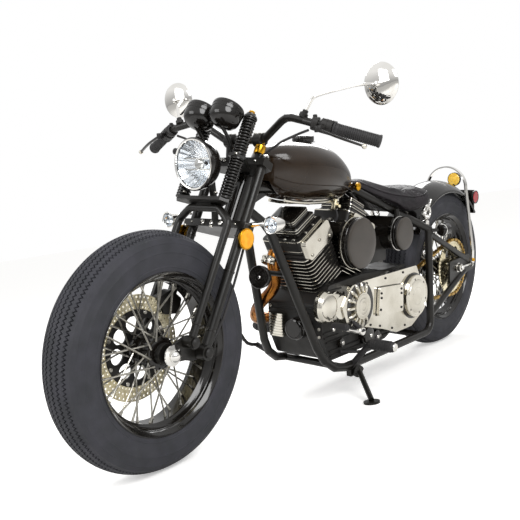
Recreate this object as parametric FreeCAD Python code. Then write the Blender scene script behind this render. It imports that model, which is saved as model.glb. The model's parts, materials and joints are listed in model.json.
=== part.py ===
import FreeCAD, Part
import math
import os

os.makedirs("parts", exist_ok=True)
V = FreeCAD.Vector

# Chopper motorcycle with a rigid rear frame, a girder-like spring fork and a V-twin engine.
# It is drawn upright, in millimetres: X forward from the rear axle, Y to the rider's left, Z up from
# the ground line, and then leaned over on its side stand.

# Stance
wheelbase = 1560.0
lean_deg = 8.0
rake_deg = 29.0
trail = 20.0

# Wheels and tyres
tyre_radius = 322.0
tyre_half_width = 60.0
wall_top_radius = 292.0
shoulder_half_width = 50.4
shoulder_radius = 307.8
tread_flat = 32.0
tread_crown = 80.658
rim_seat_radius = 208.0
rim_half_width = 58.0
rim_seat_half = 50.0
rim_well_radius = 192.0
rim_wall = 4.0
bead_gap = 0.3
axle_radius = 9.0
running_gap = 0.1
hub_radius = 27.0
hub_half_width = 46.0
hub_flange_radius = 44.0
hub_flange_wall = 7.0
hub_flange_place = 34.0
boss_bore = 15.0
boss_radius = 34.0
disc_side = 62.0
disc_wall = 4.5
front_disc_radius = 146.0
rear_disc_radius = 118.0
spoke_radius = 2.6
spoke_pairs = 10

# Frame tubes
tube_radius = 14.0
stay_radius = 12.0
backbone_radius = 19.0
neck_radius = 28.0
neck_gap = 5.0
stem_radius = 14.0
rail_spacing = 125.0
rail_height = 116.0
rail_rear = 250.0
upright_foot = 70.0
seat_joint_height = 515.0
axle_plate_place = 112.0
seat_rail_x = 650.0
seat_rail_top = 690.0
seat_rail_half = 30.0
backbone_slope = 0.07
rail_path_bend = 140.0
rail_split = 720.0
cradle_front = 935.0
axle_plate_wall = 8.0

# Spring fork, measured along and ahead of the steering axis
leg_spacing = 95.0
rear_leg_ahead = 44.0
front_leg_ahead = 104.5
leg_radius = 14.0
front_leg_radius = 11.0
leg_eye_half = 16.0
rocker_wall = 9.0
speed_drive_radius = 30.0
cable_radius = 3.5
rear_leg_foot = 336.0
leg_over_tree = 21.0
lower_tree = 690.0
upper_tree = 884.0
tree_wall = 22.0
tree_half_width = 116.0
crown_share = 0.134
spring_ahead = 132.0
spring_spacing = 82.0
spring_radius = 20.0
spring_wire = 5.0
spring_pitch = 9.0
spring_foot_share = 0.268
spring_perch_share = 0.887
spring_top_share = 1.52

# Handlebar, mirrors and gauges: above the upper tree, ahead of the steering axis, to the side
bar_radius = 11.0
bar_clamp = (78.4, 41.8, 70.0)
bar_crest = (124.8, 88.1, 170.0)
bar_bend = (99.4, 94.6, 262.0)
bar_end = (85.4, 2.3, 430.0)
grip_radius = 17.0
grip_length = 125.0
mirror_place = (257.7, 5.1, 389.0)
mirror_radius = 57.0
gauge_place = (76.4, 193.9, 49.0)
gauge_radius = 46.0
gauge_depth = 62.0
gauge_heading = V(-0.62, 0, 0.78)

# Lamps: above the lower tree, ahead of the steering axis, to the side
headlamp_place = (114.0, 207.9, 0.0)
headlamp_radius = 73.0
headlamp_depth = 64.0
indicator_place = (13.6, 42.5, 199.0)
indicator_radius = 23.0
reflector_under_tree = 33.0
reflector_radius = 30.0
horn_share = 0.311
horn_reach = 34.0

# Engine
crank = (785.0, 290.0)
case_top = 392.0
front_cylinder_deg = 28.0
rear_cylinder_deg = -24.0
fin_half_length = 78.0
fin_half_width = 86.0
fin_corner = 24.0
barrel_foot = 118.0
barrel_top = 252.0
head_top = 330.0
rocker_top = 362.0
case_half_width = 108.0
cover_outer = 150.0
fin_pitch = 13.4
fin_wall = 4.0
valley_gap = 6.0
barrel_half = 56.0

# Exhaust
muffler_side = -184.0
muffler_heights = (250.0, 338.0)
muffler_tail = -190.0

# Tank, seat and drums
tank_crest = 853.0
tank_floor = 664.0
tank_half_width = 112.0
tank_head_gap = 74.0
cap_share = 0.502
cap_sunk = 3.0
cap_radius = 35.0
air_cleaner_centre = (740.0, 515.0)
air_cleaner_radius = 85.0
carburettor_centre = (795.0, 566.0)
oil_drum_centre = (449.0, 513.0)
oil_drum_radius = 60.0
drum_outer = 140.0
fender_gap = 28.0
fender_half_width = 84.0
seat_channel_half = 104.0
fender_wall = 3.0
fender_drop = 42.0
fender_front_deg = 32.0
fender_rear_deg = 139.0
hoop_place = -140.0
hoop_breadth = 20.0
hoop_wall = 5.0
hoop_half_width = 84.3
hoop_over_fender = 89.0
hoop_knee = 374.0
tail_plate_deg = 139.0
tail_plate_outward = 47.0
marker_deg = 121.0
marker_outward = 50.0
marker_radius = 28.0
rear_indicator_centre = (187.0, 152.0, 500.0)

# Final drive
sprocket_side = 88.0
rear_sprocket_radius = 112.0
front_sprocket_radius = 44.0
front_sprocket_x = 410.0
front_sprocket_z = 282.0
chain_height = 12.0
chain_half_width = 8.0

# Side stand
stand_pivot = (800.0, 152.0, 104.0)
stand_foot_xy = (890.0, 258.0)
stand_folded = (-160.0, 22.0, 12.0)

bend_step = math.radians(24)
section_corners = 22
lean = math.radians(lean_deg)
rake = math.radians(rake_deg)
gearbox_side = sprocket_side - chain_half_width - 12
tread_radius = tyre_radius - tread_crown + (tread_crown - tread_flat * math.sin(lean)) / math.cos(lean)
axle_height = tyre_radius
up_axis = V(-math.sin(rake), 0, math.cos(rake))
ahead_axis = V(math.cos(rake), 0, math.sin(rake))
axis_foot = V(wheelbase + trail, 0, 0)
neck_foot = lower_tree + tree_wall / 2 + neck_gap
neck_top = upper_tree - tree_wall / 2 - neck_gap
rear_leg_top = upper_tree + leg_over_tree
tree_span = upper_tree - lower_tree
crown = lower_tree + tree_span * crown_share
spring_foot = lower_tree + tree_span * spring_foot_share
spring_perch = lower_tree + tree_span * spring_perch_share
spring_top = lower_tree + tree_span * spring_top_share
fender_radius = tyre_radius + fender_gap
hoop_shoulder = axle_height + math.sqrt(fender_radius ** 2 - hoop_place ** 2) + hoop_over_fender - hoop_half_width - hoop_wall - 8.5
rocker_face = leg_spacing - leg_eye_half - 0.3
tank_rear = seat_rail_x - 4
rail_rise = (seat_rail_top - seat_joint_height + 8) / (seat_rail_x - rail_rear + 2)
across = V(0, 1, 0)
forward = V(1, 0, 0)
upward = V(0, 0, 1)


# Shapes

def fork_point(along, ahead, side=0.0):
    """A point by its place along the steering axis from the ground, ahead of it and to the left."""
    return axis_foot + up_axis * along + ahead_axis * ahead + across * side


def bar_point(rise, ahead, side=0.0):
    """The same, measured up from the upper tree."""
    return fork_point(upper_tree + rise, ahead, side)


def lamp_point(rise, ahead, side=0.0):
    """The same, measured up from the lower tree."""
    return fork_point(lower_tree + rise, ahead, side)


def bent_path(points, bends):
    """Straight runs through the points, with short steps round a tangent arc at each corner."""
    points = [V(*point) for point in points]
    path = [points[0]]
    for before, corner, after, bend in zip(points, points[1:], points[2:], bends):
        into = (corner - before).normalize()
        out = (after - corner).normalize()
        turn = into.getAngle(out)
        cut = bend * math.tan(turn / 2)
        inward = (out - into).normalize()
        middle = corner + inward * (bend / math.cos(turn / 2) - bend)
        arc = Part.Arc(corner - into * cut, middle, corner + out * cut).toShape()
        steps = max(1, round(turn / bend_step))
        path += arc.discretize(Number=steps + 1)
    return path + [points[-1]]


def tube(points, radius, bends):
    """A round bar bent through the points, mitred from step to step."""
    path = bent_path(points, bends)
    section = Part.Wire(Part.Circle(path[0], path[1] - path[0], radius).toShape())
    return Part.Solid(Part.makePolygon(path).makePipeShell([section], True, False, 1))


def cable(points, radius):
    """A flexible line through the points, each bend as large as its two runs allow."""
    points = [V(*point) for point in points]
    bends = []
    for before, corner, after in zip(points, points[1:], points[2:]):
        turn = (corner - before).getAngle(after - corner)
        shorter = min((corner - before).Length, (after - corner).Length)
        bends.append(0.45 * shorter / math.tan(turn / 2))
    return tube(points, radius, bends)


def rod(start, end, radius):
    """A straight round bar."""
    start = V(*start)
    along = V(*end) - start
    return Part.makeCylinder(radius, along.Length, start, along)


def turned(profile, origin=(0, 0, 0), heading=(0, 1, 0), chords=3):
    """A solid of revolution about a line from origin along heading.

    The profile is a closed list of (radius, distance) points. A pair of points is an arc through the
    first, cut into a few chords."""
    def place(point):
        return V(point[0], 0, point[1])

    corners = [place(profile[0])]
    for step in profile[1:]:
        if isinstance(step[0], tuple):
            arc = Part.Arc(corners[-1], place(step[0]), place(step[1])).toShape()
            corners += arc.discretize(Number=chords + 1)[1:]
        else:
            corners.append(place(step))
    face = Part.Face(Part.makePolygon(corners + [corners[0]]))
    solid = Part.Solid(face.revolve(V(0, 0, 0), upward, 360))
    solid.Placement = FreeCAD.Placement(V(*origin), FreeCAD.Rotation(upward, V(*heading)))
    return solid


def disc(centre, heading, radius, depth):
    """A round plate centred on a point, with its thickness along heading."""
    heading = V(*heading).normalize()
    return Part.makeCylinder(radius, depth, V(*centre) - heading * (depth / 2), heading)


def block(low, high):
    """A box between two corners."""
    size = V(*high) - V(*low)
    return Part.makeBox(size.x, size.y, size.z, V(*low))


def side_plate(points, y_low, y_high, corner=0.0):
    """A plate seen from the side: (x, z) corners, pushed from y_low to y_high, with rounded corners."""
    wire = Part.makePolygon([V(x, y_low, z) for x, z in points + [points[0]]])
    solid = Part.Face(wire).extrude(V(0, y_high - y_low, 0))
    if corner > 0:
        standing = [edge for edge in solid.Edges if abs(edge.tangentAt(edge.FirstParameter).y) > 0.99]
        solid = solid.makeFillet(corner, standing)
    return solid


def joined(shapes):
    """One clean solid, or one compound of the separate solids that the shapes make."""
    shape = shapes[0].multiFuse(shapes[1:]) if len(shapes) > 1 else shapes[0]
    return shape.removeSplitter()


def mirrored(shape):
    """The same piece on the right-hand side."""
    return shape.mirror(V(0, 0, 0), across)


def both_sides(shape):
    return Part.makeCompound([shape, mirrored(shape)])


# Wheels

def tyre(centre):
    """The tyre, whose beads lean out along the rim's flanges."""
    seat = rim_seat_radius + bead_gap
    wall_foot = seat + tyre_half_width - rim_seat_half
    half = [
        (seat, rim_seat_half), (wall_foot, tyre_half_width), (wall_top_radius, tyre_half_width),
        (shoulder_radius, shoulder_half_width), (tread_radius, tread_flat),
    ]
    return turned([(radius, -side) for radius, side in half] + half[::-1], centre)


def rim(centre):
    """The drop-centre rim, with flanges that flare out at half a right angle."""
    seat, well = rim_seat_radius, rim_well_radius
    flange = seat + rim_half_width - rim_seat_half
    well_half = rim_seat_half - 26
    outside = [(well, well_half), (seat, rim_seat_half), (flange, rim_half_width)]
    inside = [(flange - rim_wall * 0.7, rim_half_width + rim_wall * 0.7), (seat - rim_wall, rim_seat_half),
              (well - rim_wall, well_half)]
    half = outside + inside
    return turned(half + [(radius, -side) for radius, side in half[::-1]], centre)


def hub(centre):
    bore = axle_radius + running_gap
    half = []
    for sign in (-1, 1):
        half.append([
            (hub_radius, sign * (hub_flange_place - hub_flange_wall / 2)),
            (hub_flange_radius, sign * (hub_flange_place - hub_flange_wall / 2)),
            (hub_flange_radius, sign * (hub_flange_place + hub_flange_wall / 2)),
            (hub_radius, sign * (hub_flange_place + hub_flange_wall / 2)),
            (hub_radius - 4, sign * hub_half_width),
            (bore, sign * hub_half_width),
        ])
    return turned(half[0][::-1] + half[1], centre)


def spokes(centre):
    """Crossed spokes from the hub's flanges to the rim's well, as six-sided bars."""
    bars = []
    reach = rim_well_radius - rim_wall - 1.0
    foot = hub_flange_radius - 4
    step = 2 * math.pi / (2 * spoke_pairs)
    for side in (-1, 1):
        for number in range(2 * spoke_pairs):
            lead = 1 if number % 2 else -1
            start_angle = step * number + (step / 2 if side > 0 else 0)
            end_angle = start_angle + lead * step * 2
            stand_off = lead * (hub_flange_wall / 2 + spoke_radius + 0.9)
            start = V(foot * math.cos(start_angle), side * (hub_flange_place + stand_off), foot * math.sin(start_angle))
            end = V(reach * math.cos(end_angle), side * (9.0 + lead * (spoke_radius + 0.4)), reach * math.sin(end_angle))
            along = end - start
            bar = Part.Face(Part.makePolygon([
                V(spoke_radius * math.cos(turn), spoke_radius * math.sin(turn), 0)
                for turn in [math.radians(60 * corner) for corner in range(7)]
            ])).extrude(V(0, 0, along.Length))
            bar.Placement = FreeCAD.Placement(V(*centre) + start, FreeCAD.Rotation(upward, along))
            bars.append(bar)
    return Part.makeCompound(bars)


def brake_disc(centre, outer, holes):
    """A brake disc on the right of a wheel, on a boss from the hub, with round openings in it."""
    inner = disc_side - disc_wall / 2
    plate = turned([
        (boss_bore, -hub_half_width), (boss_radius, -hub_half_width), (boss_radius, -inner), (outer, -inner),
        (outer, -inner - disc_wall), (boss_bore, -inner - disc_wall),
    ], centre)
    place = (boss_radius + outer) / 2
    size = (outer - boss_radius) * 0.3
    openings = [disc((centre[0] + math.cos(turn) * place, -disc_side, centre[2] + math.sin(turn) * place), across, size, 20)
                for turn in [math.tau * number / holes for number in range(holes)]]
    return plate.cut(Part.makeCompound(openings))


# Frame

def neck_tube():
    top = turned([
        (stem_radius + running_gap, 0), (neck_radius, 0), (neck_radius, neck_top - neck_foot),
        (stem_radius + running_gap, neck_top - neck_foot),
    ], fork_point(neck_foot, 0), up_axis)
    return top


def backbone_end():
    """Where the top tube ends, inside the steering head's wall."""
    return fork_point((neck_foot + neck_top) / 2 + 51, -15.5).x


def backbone_height(x):
    return seat_rail_top + (x - seat_rail_x) * backbone_slope


def backbone():
    """The steering head, the top tube and the curved post between the rear cylinder and the oil tank."""
    neck = neck_tube()
    head = backbone_end()
    top = rod((seat_rail_x - 6, 0, backbone_height(seat_rail_x - 6)), (head, 0, backbone_height(head)), backbone_radius)
    bore = neck_space()
    post = tube([(seat_rail_x - 2, 0, seat_rail_top), (seat_rail_x - 82, 0, 652), (545, 0, case_top + 2)], tube_radius, [60])
    gusset = side_plate([(head - 150, backbone_height(head - 150)), (head - 10, backbone_height(head - 10)),
                         (head + 36, neck_foot - 54)], -5, 5)
    return joined([neck, top.cut(bore), yoke(), post, gusset.cut(bore)])


def neck_space():
    """The room that the steering head takes."""
    return disc(fork_point((neck_foot + neck_top) / 2, 0), up_axis, neck_radius, neck_top - neck_foot + 90)


def down_tube():
    """The left front tube of the cradle, from the steering head round under the engine."""
    return tube(cradle_points(), tube_radius, [60, rail_path_bend]).cut(neck_space())


def cradle_points():
    return [
        fork_point(neck_foot + 72, -17, 17), fork_point(neck_foot + 51, -115.5, 44),
        V(cradle_front, rail_spacing - 3, rail_height + 1), V(rail_split, rail_spacing - 1, rail_height),
    ]


def bottom_rail():
    rail = rod((rail_split, rail_spacing - 1, rail_height), (rail_rear + upright_foot, rail_spacing, rail_height), tube_radius)
    return rail.cut(down_tube()).cut(upright())


def upright():
    """The rear upright, turned up from the bottom rail."""
    return tube([
        (rail_rear + upright_foot, rail_spacing, rail_height), (rail_rear, rail_spacing, rail_height),
        (rail_rear, rail_spacing - 9, seat_joint_height),
    ], tube_radius, [44])


def upper_rail():
    """From the yoke behind the tank, under the seat, to the top of the rear upright."""
    return rod(rail_point(seat_rail_x), rail_point(rail_rear - 2), tube_radius).cut(upright()).cut(yoke())


def rail_point(x):
    """A point on the left upper rail's line."""
    share = (seat_rail_x - x) / (seat_rail_x - rail_rear + 2)
    return V(x, seat_rail_half + share * (rail_spacing - 9 - seat_rail_half), seat_rail_top + (x - seat_rail_x) * rail_rise)


def yoke():
    """The cross tube behind the tank that the top tube and the upper rails meet at."""
    return rod((seat_rail_x, -44, seat_rail_top), (seat_rail_x, 44, seat_rail_top), tube_radius + 2)


def upper_stay():
    foot = (-84, axle_plate_place, axle_height + 22)
    head = (rail_rear - 2, rail_spacing - 9, seat_joint_height - 24)
    return rod(head, foot, stay_radius).cut(upright().fuse(axle_plate()))


def lower_stay():
    foot = (-60, axle_plate_place, axle_height - 22)
    head = (rail_rear, rail_spacing - 1, rail_height + 60)
    return rod(head, foot, stay_radius).cut(upright()).fuse(axle_plate()).removeSplitter()


def axle_plate():
    """The slotted plate that holds the rear axle on the left."""
    plate = side_plate([(-150, axle_height - 24), (-150, axle_height + 14), (-95, axle_height + 44),
                        (70, axle_height + 30), (70, axle_height - 60), (-20, axle_height - 38)],
                       axle_plate_place - axle_plate_wall / 2, axle_plate_place + axle_plate_wall / 2, 10)
    slot = side_plate([(-30, axle_height - axle_radius - 0.3), (30, axle_height - axle_radius - 0.3),
                       (30, axle_height + axle_radius + 0.3), (-30, axle_height + axle_radius + 0.3)],
                      axle_plate_place - 20, axle_plate_place + 20)
    return plate.cut(slot)


def frame_crossbars():
    """Cross tubes under the engine and between the uprights."""
    inner = rail_spacing - 2
    rails = both_sides(down_tube().fuse(bottom_rail()).fuse(upright()))
    reach = fender_radius + stay_radius + 0.3
    rest = V(297, 0, axle_height + math.sqrt(reach ** 2 - 297 ** 2))
    upper = both_sides(upper_rail())
    low = [rod((x, -inner, rail_height), (x, inner, rail_height), stay_radius).cut(rails) for x in (840, rail_rear + 80)]
    high = rod((rest.x, -106, rest.z), (rest.x, 106, rest.z), stay_radius).cut(upper)
    return Part.makeCompound(low + [high, horn_rail(), stand_bracket().cut(rails)])


# Engine

def cylinder_point(angle_deg, along, ahead=0.0, side=0.0):
    """A point by its distance from the crank along a cylinder's axis, ahead of it and to the left."""
    angle = math.radians(angle_deg)
    return V(
        crank[0] + math.sin(angle) * along + math.cos(angle) * ahead,
        side,
        crank[1] + math.cos(angle) * along - math.sin(angle) * ahead,
    )


def cylinder_block(angle_deg, low, high, half_length, half_width, corner):
    """A block square to a cylinder's axis, between two distances from the crank."""
    box = Part.makeBox(2 * half_length, 2 * half_width, high - low, V(-half_length, -half_width, low))
    if corner > 0:
        standing = [edge for edge in box.Edges if abs(edge.tangentAt(edge.FirstParameter).z) > 0.99]
        box = box.makeChamfer(corner, standing)
    box.Placement = FreeCAD.Placement(V(crank[0], 0, crank[1]), FreeCAD.Rotation(across, angle_deg))
    return box


def cylinder(angle_deg):
    """A finned barrel on the crankcase."""
    pieces = [cylinder_block(angle_deg, barrel_foot - 22, barrel_top, barrel_half, barrel_half, 0)]
    count = int((barrel_top - barrel_foot) / fin_pitch)
    for number in range(count):
        low = barrel_foot + fin_pitch * (number + 0.5) - fin_wall / 2
        pieces.append(cylinder_block(angle_deg, low, low + fin_wall, fin_half_length, fin_half_width, fin_corner))
    case = crankcase()
    spacing = math.radians((front_cylinder_deg + rear_cylinder_deg) / 2)
    between = V(math.sin(spacing), 0, math.cos(spacing))
    side = math.copysign(1, angle_deg)
    wall = Part.makeBox(400, 400, 400, V(-400 + valley_gap / 2 if side > 0 else -valley_gap / 2, -200, 0))
    wall.Placement = FreeCAD.Placement(V(crank[0], 0, crank[1]), FreeCAD.Rotation(upward, between))
    barrel = joined(pieces).cut(case).cut(wall)
    return max(barrel.Solids, key=lambda solid: solid.Volume)


def cylinder_head(angle_deg):
    """A head with its rocker box."""
    head = cylinder_block(angle_deg, barrel_top, head_top, fin_half_length - 4, fin_half_width - 10, 16)
    rocker = cylinder_block(angle_deg, head_top, rocker_top, fin_half_length - 22, fin_half_width - 22, 12)
    return head.fuse(rocker).removeSplitter()


def head_cover(angle_deg):
    """The bright cover on the left of a head."""
    return cylinder_cover(angle_deg, barrel_top + 4, head_top - 6, 70, fin_half_width - 10, fin_half_width + 8)


def cylinder_cover(angle_deg, low, high, half_length, y_low, y_high):
    box = Part.makeBox(2 * half_length, y_high - y_low, high - low, V(-half_length, y_low, low))
    lying = [edge for edge in box.Edges if abs(edge.tangentAt(edge.FirstParameter).y) > 0.99]
    box = box.makeFillet(12, lying)
    box.Placement = FreeCAD.Placement(V(crank[0], 0, crank[1]), FreeCAD.Rotation(across, angle_deg))
    return box


def crankcase():
    """The engine's lower half and, behind it, the gearbox, narrower on the left to pass the chain."""
    case = side_plate([
        (940, 232), (940, 336), (895, 396), (700, 404), (560, case_top), (505, 380), (505, 172), (560, 150), (900, 150),
    ], -case_half_width, case_half_width, 18)
    gearbox = side_plate([(515, 180), (515, 384), (350, 384), (322, 350), (322, 205), (350, 172)],
                         -case_half_width + 8, gearbox_side, 14)
    return joined([case, gearbox])


def left_cover():
    """The bright cover over the clutch, the generator and the front sprocket."""
    main = side_plate([
        (868, 320), (809, 384), (737, 389), (382, 389), (334, 300), (350, 204), (420, 171), (529, 170), (617, 200),
        (762, 240), (840, 262),
    ], case_half_width, cover_outer - 12, 14)
    panel = side_plate([(654, 353), (499, 340), (501, 243), (666, 257)], cover_outer - 14, cover_outer, 8)
    sprocket_cap = disc((410, cover_outer - 5, 282), across, 76, 22)
    fan_cap = disc((761, cover_outer - 6, 310), across, 44, 14)
    return joined([main, panel, sprocket_cap, fan_cap])


def generator_cover():
    """The small bright cover at the front of the engine."""
    return turned([(0, 0), (52, 0), (52, 14), (44, 26), (0, 26)], (930, case_half_width, 334), across)


def right_cover():
    """The cam and timing cover on the right."""
    main = side_plate([(880, 300), (850, 372), (640, 384), (610, 300), (650, 214), (840, 214)],
                      -case_half_width - 26, -case_half_width, 24)
    cap = disc((765, -case_half_width - 28, 300), across, 50, 16)
    return joined([main, cap])


def intake():
    """The carburettor between the cylinders, and its pipe to the air cleaner."""
    x, z = carburettor_centre
    body = block((x - 30, -34, z - 28), (x + 30, 40, z + 34))
    throat = rod((x - 4, 38, z), (x - 4, fin_half_width + 12, z), 24)
    manifold = rod((x - 80, 0, z + 8), (x + 80, 0, z + 8), 18)
    heads = cylinder_head(front_cylinder_deg).fuse(cylinder_head(rear_cylinder_deg))
    return joined([body, throat, manifold]).cut(heads)


def drum(centre, radius, y_low, y_high, dome):
    """A round tank or cleaner that lies across the frame, with domed ends."""
    return turned([
        (0, y_low), (radius - 8, y_low), (radius, y_low + 8), (radius, y_high - dome),
        (radius - dome * 0.5, y_high - dome * 0.3), (radius * 0.72, y_high), (0, y_high),
    ], (centre[0], 0, centre[1]), across)


def oil_tank():
    """The drum under the seat, hung from the upper rails by two lugs."""
    x, z = oil_drum_centre
    tank = drum(oil_drum_centre, oil_drum_radius, -drum_outer + 12, drum_outer - 6, 14)
    side = rail_point(x).y + 11
    lug = rod((x, side, z + oil_drum_radius - 20), (x, side, rail_point(x).z - 6), 9)
    return joined([tank, both_sides(lug)]).cut(both_sides(upper_rail()))


def exhaust(points, bends, muffler_start, muffler_end, pipe=19.0, body=38.0):
    """A header pipe that runs into a muffler."""
    header = tube(points, pipe, bends)
    start = V(*muffler_start)
    along = V(*muffler_end) - start
    length = along.Length
    muffler = turned([
        (0, 0), (pipe + 2, 0), (body, 70), (body, length - 30), (body - 8, length), (body - 14, length),
        (body - 14, length - 60), (0, length - 60),
    ], start, along)
    return header.fuse(muffler).removeSplitter()


def exhaust_front():
    head = cylinder_point(front_cylinder_deg, barrel_top + 34, fin_half_length - 8, -34)
    low = muffler_heights[0]
    return exhaust([
        head, head + V(31, 0, -16), (964, -40, 404), (978, -72, 362), (964, -134, 320), (926, muffler_side, low),
        (420, muffler_side, low),
    ], [24, 40, 40, 40, 50], (420, muffler_side, low), (muffler_tail, muffler_side - 2, low + 14)).cut(cylinder_head(front_cylinder_deg))


def exhaust_rear():
    head = cylinder_point(rear_cylinder_deg, barrel_top + 40, 10, -fin_half_width + 14)
    high = muffler_heights[1]
    return exhaust([
        head, head + V(-4, -100, -10), (640, muffler_side, 430), (570, muffler_side, high), (430, muffler_side, high),
    ], [40, 60, 50], (430, muffler_side, high), (muffler_tail, muffler_side - 2, high + 16)).cut(cylinder_head(rear_cylinder_deg))


# Tank, seat, fender

def tank_section(x, low, high, half_width, fullness=2.6):
    """A closed curve round the tank at one place along it."""
    points = []
    middle, half = (low + high) / 2, (high - low) / 2
    for number in range(section_corners):
        angle = 2 * math.pi * number / section_corners
        side, rise = math.cos(angle), math.sin(angle)
        points.append(V(
            x,
            half_width * math.copysign(abs(side) ** (2 / fullness), side),
            middle + half * math.copysign(abs(rise) ** (2 / fullness), rise),
        ))
    return Part.makePolygon(points + [points[0]])


def fuel_tank():
    width, top, floor = tank_half_width, tank_crest, tank_floor
    rear, reach = tank_rear, tank_reach()
    sections = [
        (1.0, floor + 92, top - 50, width * 0.20), (0.964, floor + 58, top - 22, width * 0.46),
        (0.873, floor + 26, top - 6, width * 0.76), (0.714, floor + 8, top, width * 0.97),
        (0.532, floor, top - 4, width), (0.327, floor - 4, top - 27, width * 0.89), (0.145, floor, top - 71, width * 0.66),
        (0.0455, floor + 20, top - 110, width * 0.42), (0.0, floor + 42, top - 130, width * 0.2),
    ]
    shell = Part.makeLoft([tank_section(rear + share * reach, low, high, half) for share, low, high, half in sections],
                          True, True)
    clear = backbone_radius + 6
    seated = backbone_radius + 0.3
    tunnel = side_plate([
        (rear - 46, floor - 60), (rear + reach + 34, floor - 60), (rear + reach + 34, backbone_height(rear + reach + 34) + seated),
        (rear - 46, backbone_height(rear - 46) + seated),
    ], -clear, clear)
    yoke_space = rod((seat_rail_x, -50, seat_rail_top), (seat_rail_x, 50, seat_rail_top), tube_radius + 5)
    neck = disc(cap_centre(), upward, cap_radius - 5.7, 20.6)
    return shell.cut(tunnel.fuse(yoke_space)).cut(neck)


def tank_reach():
    """The tank's length, from the cross tube behind it to a hand's breadth behind the steering head."""
    return backbone_end() - tank_head_gap - tank_rear


def cap_centre():
    return V(tank_rear + tank_reach() * cap_share, 0, tank_crest - cap_sunk)


def fuel_cap():
    return turned([(0, -10), (cap_radius - 6, -10), (cap_radius - 6, 4), (cap_radius, 4), (cap_radius, 17),
                   (cap_radius - 5, 22), (0, 22)], cap_centre(), upward)


def seat():
    """A sprung solo saddle, wide at the back and narrow at the nose."""
    sections = [
        (14, -2, 22, 16), (50, 1, 49, 42), (105, -12, 64, 62), (180, -12, 74, 104), (260, 6, 92, 142),
        (330, 36, 122, 152), (388, 77, 155, 136), (412, 110, 154, 96),
    ]
    places = [(seat_rail_x - back, rail_point(seat_rail_x - back).z) for back, low, high, half in sections]
    pad = Part.makeLoft([tank_section(x, z + low, z + high, half, fullness=3.0)
                         for (x, z), (back, low, high, half) in zip(places, sections)], True, True)
    slant = tube_radius + 4
    rear, nose = seat_rail_x - 430, seat_rail_x + 30
    channel = side_plate([(rear, 300), (nose, 300), (nose, rail_point(nose).z + slant), (rear, rail_point(rear).z + slant)],
                         -seat_channel_half, seat_channel_half)
    return pad.cut(channel)


def seat_springs():
    """The two coil springs at the back of the saddle and the pivot at its nose."""
    foot = rail_point(rail_rear + 16)
    spring = rod(foot, foot + V(0, 0, 80), 16)
    between = spring.cut(upper_rail()).cut(seat())
    return max(between.Solids, key=lambda solid: solid.Volume)


def swept_over_wheel(points):
    """A section swept round the rear axle from the front of the mudguard to its end."""
    section = Part.Face(Part.makePolygon(points + [points[0]]))
    section.rotate(V(0, 0, 0), V(0, -1, 0), fender_front_deg)
    shell = section.revolve(V(0, 0, 0), V(0, -1, 0), fender_rear_deg - fender_front_deg)
    shell.translate(V(0, 0, axle_height))
    return shell


def fender():
    """The rear mudguard, a curved shell round the tyre."""
    edge = fender_radius - fender_drop
    low = edge - fender_wall
    outer = Part.Arc(V(edge, -fender_half_width, 0), V(fender_radius, 0, 0), V(edge, fender_half_width, 0))
    inner = Part.Arc(V(low, fender_half_width - 1, 0), V(fender_radius - fender_wall, 0, 0),
                     V(low, 1 - fender_half_width, 0))
    return swept_over_wheel(outer.toShape().discretize(Number=7) + inner.toShape().discretize(Number=7))


def fender_hoop():
    """The bright flat bar that carries the mudguard, bent over the tyre from one axle plate to the other."""
    foot = axle_plate_place + axle_plate_wall / 2 + 0.3
    def band(outward):
        half, radius = foot + outward, hoop_half_width + outward
        top = V(hoop_place, 0, hoop_shoulder + radius)
        left, right = V(hoop_place, radius, hoop_shoulder), V(hoop_place, -radius, hoop_shoulder)
        feet = [V(hoop_place, side * half, z) for side, z in
                ((1, hoop_knee), (1, axle_height), (-1, axle_height), (-1, hoop_knee))]
        legs = Part.makePolygon([left] + feet + [right])
        return Part.Face(Part.Wire([Part.Arc(right, top, left).toShape()] + legs.Edges))
    return band(hoop_wall).cut(band(0)).extrude(V(hoop_breadth, 0, 0))


def over_wheel(degrees, outward):
    """A point outside the mudguard, by its angle round the rear axle from straight ahead."""
    turn = math.radians(degrees)
    reach = fender_radius + outward
    return V(reach * math.cos(turn), 0, axle_height + reach * math.sin(turn))


def tail_bracket():
    """The black holder on the end of the mudguard, with the plate lamp's block on it."""
    at = over_wheel(tail_plate_deg, tail_plate_outward)
    x, z = at.x, at.z
    plate = block((x - 4, -45, z - 70), (x + 4, 45, z + 30))
    arm = block((x, -30, z + 8), (x + 110, 30, z + 18))
    lamp = block((x - 30, -26, z - 66), (x, 26, z - 40))
    return joined([plate, arm, lamp]).cut(fender_space())


def fender_space():
    """Everything inside the mudguard's outer face."""
    edge = fender_radius - fender_drop
    outer = Part.Arc(V(edge, -fender_half_width, 0), V(fender_radius, 0, 0), V(edge, fender_half_width, 0))
    points = outer.toShape().discretize(Number=7)
    inside = [V(100, fender_half_width, 0), V(100, -fender_half_width, 0)]
    return swept_over_wheel(points + inside)


def rear_lamps():
    """The amber marker on the mudguard and the red reflector on the left of the tail bracket."""
    plate = over_wheel(tail_plate_deg, tail_plate_outward)
    place = over_wheel(marker_deg, marker_outward)
    foot = V(-0.5, 0, 0.86) * (fender_radius - 6) + V(0, 0, axle_height)
    marker = turned([(0, -12), (16, -12), (marker_radius, -4), (marker_radius, 8), (0, 8)], place, forward)
    stalk = rod(foot, place, 7)
    red = disc((plate.x, 45 + 4.8, plate.z), across, marker_radius, 9)
    return Part.makeCompound([marker.fuse(stalk).removeSplitter().cut(fender_space()), red])


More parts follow.
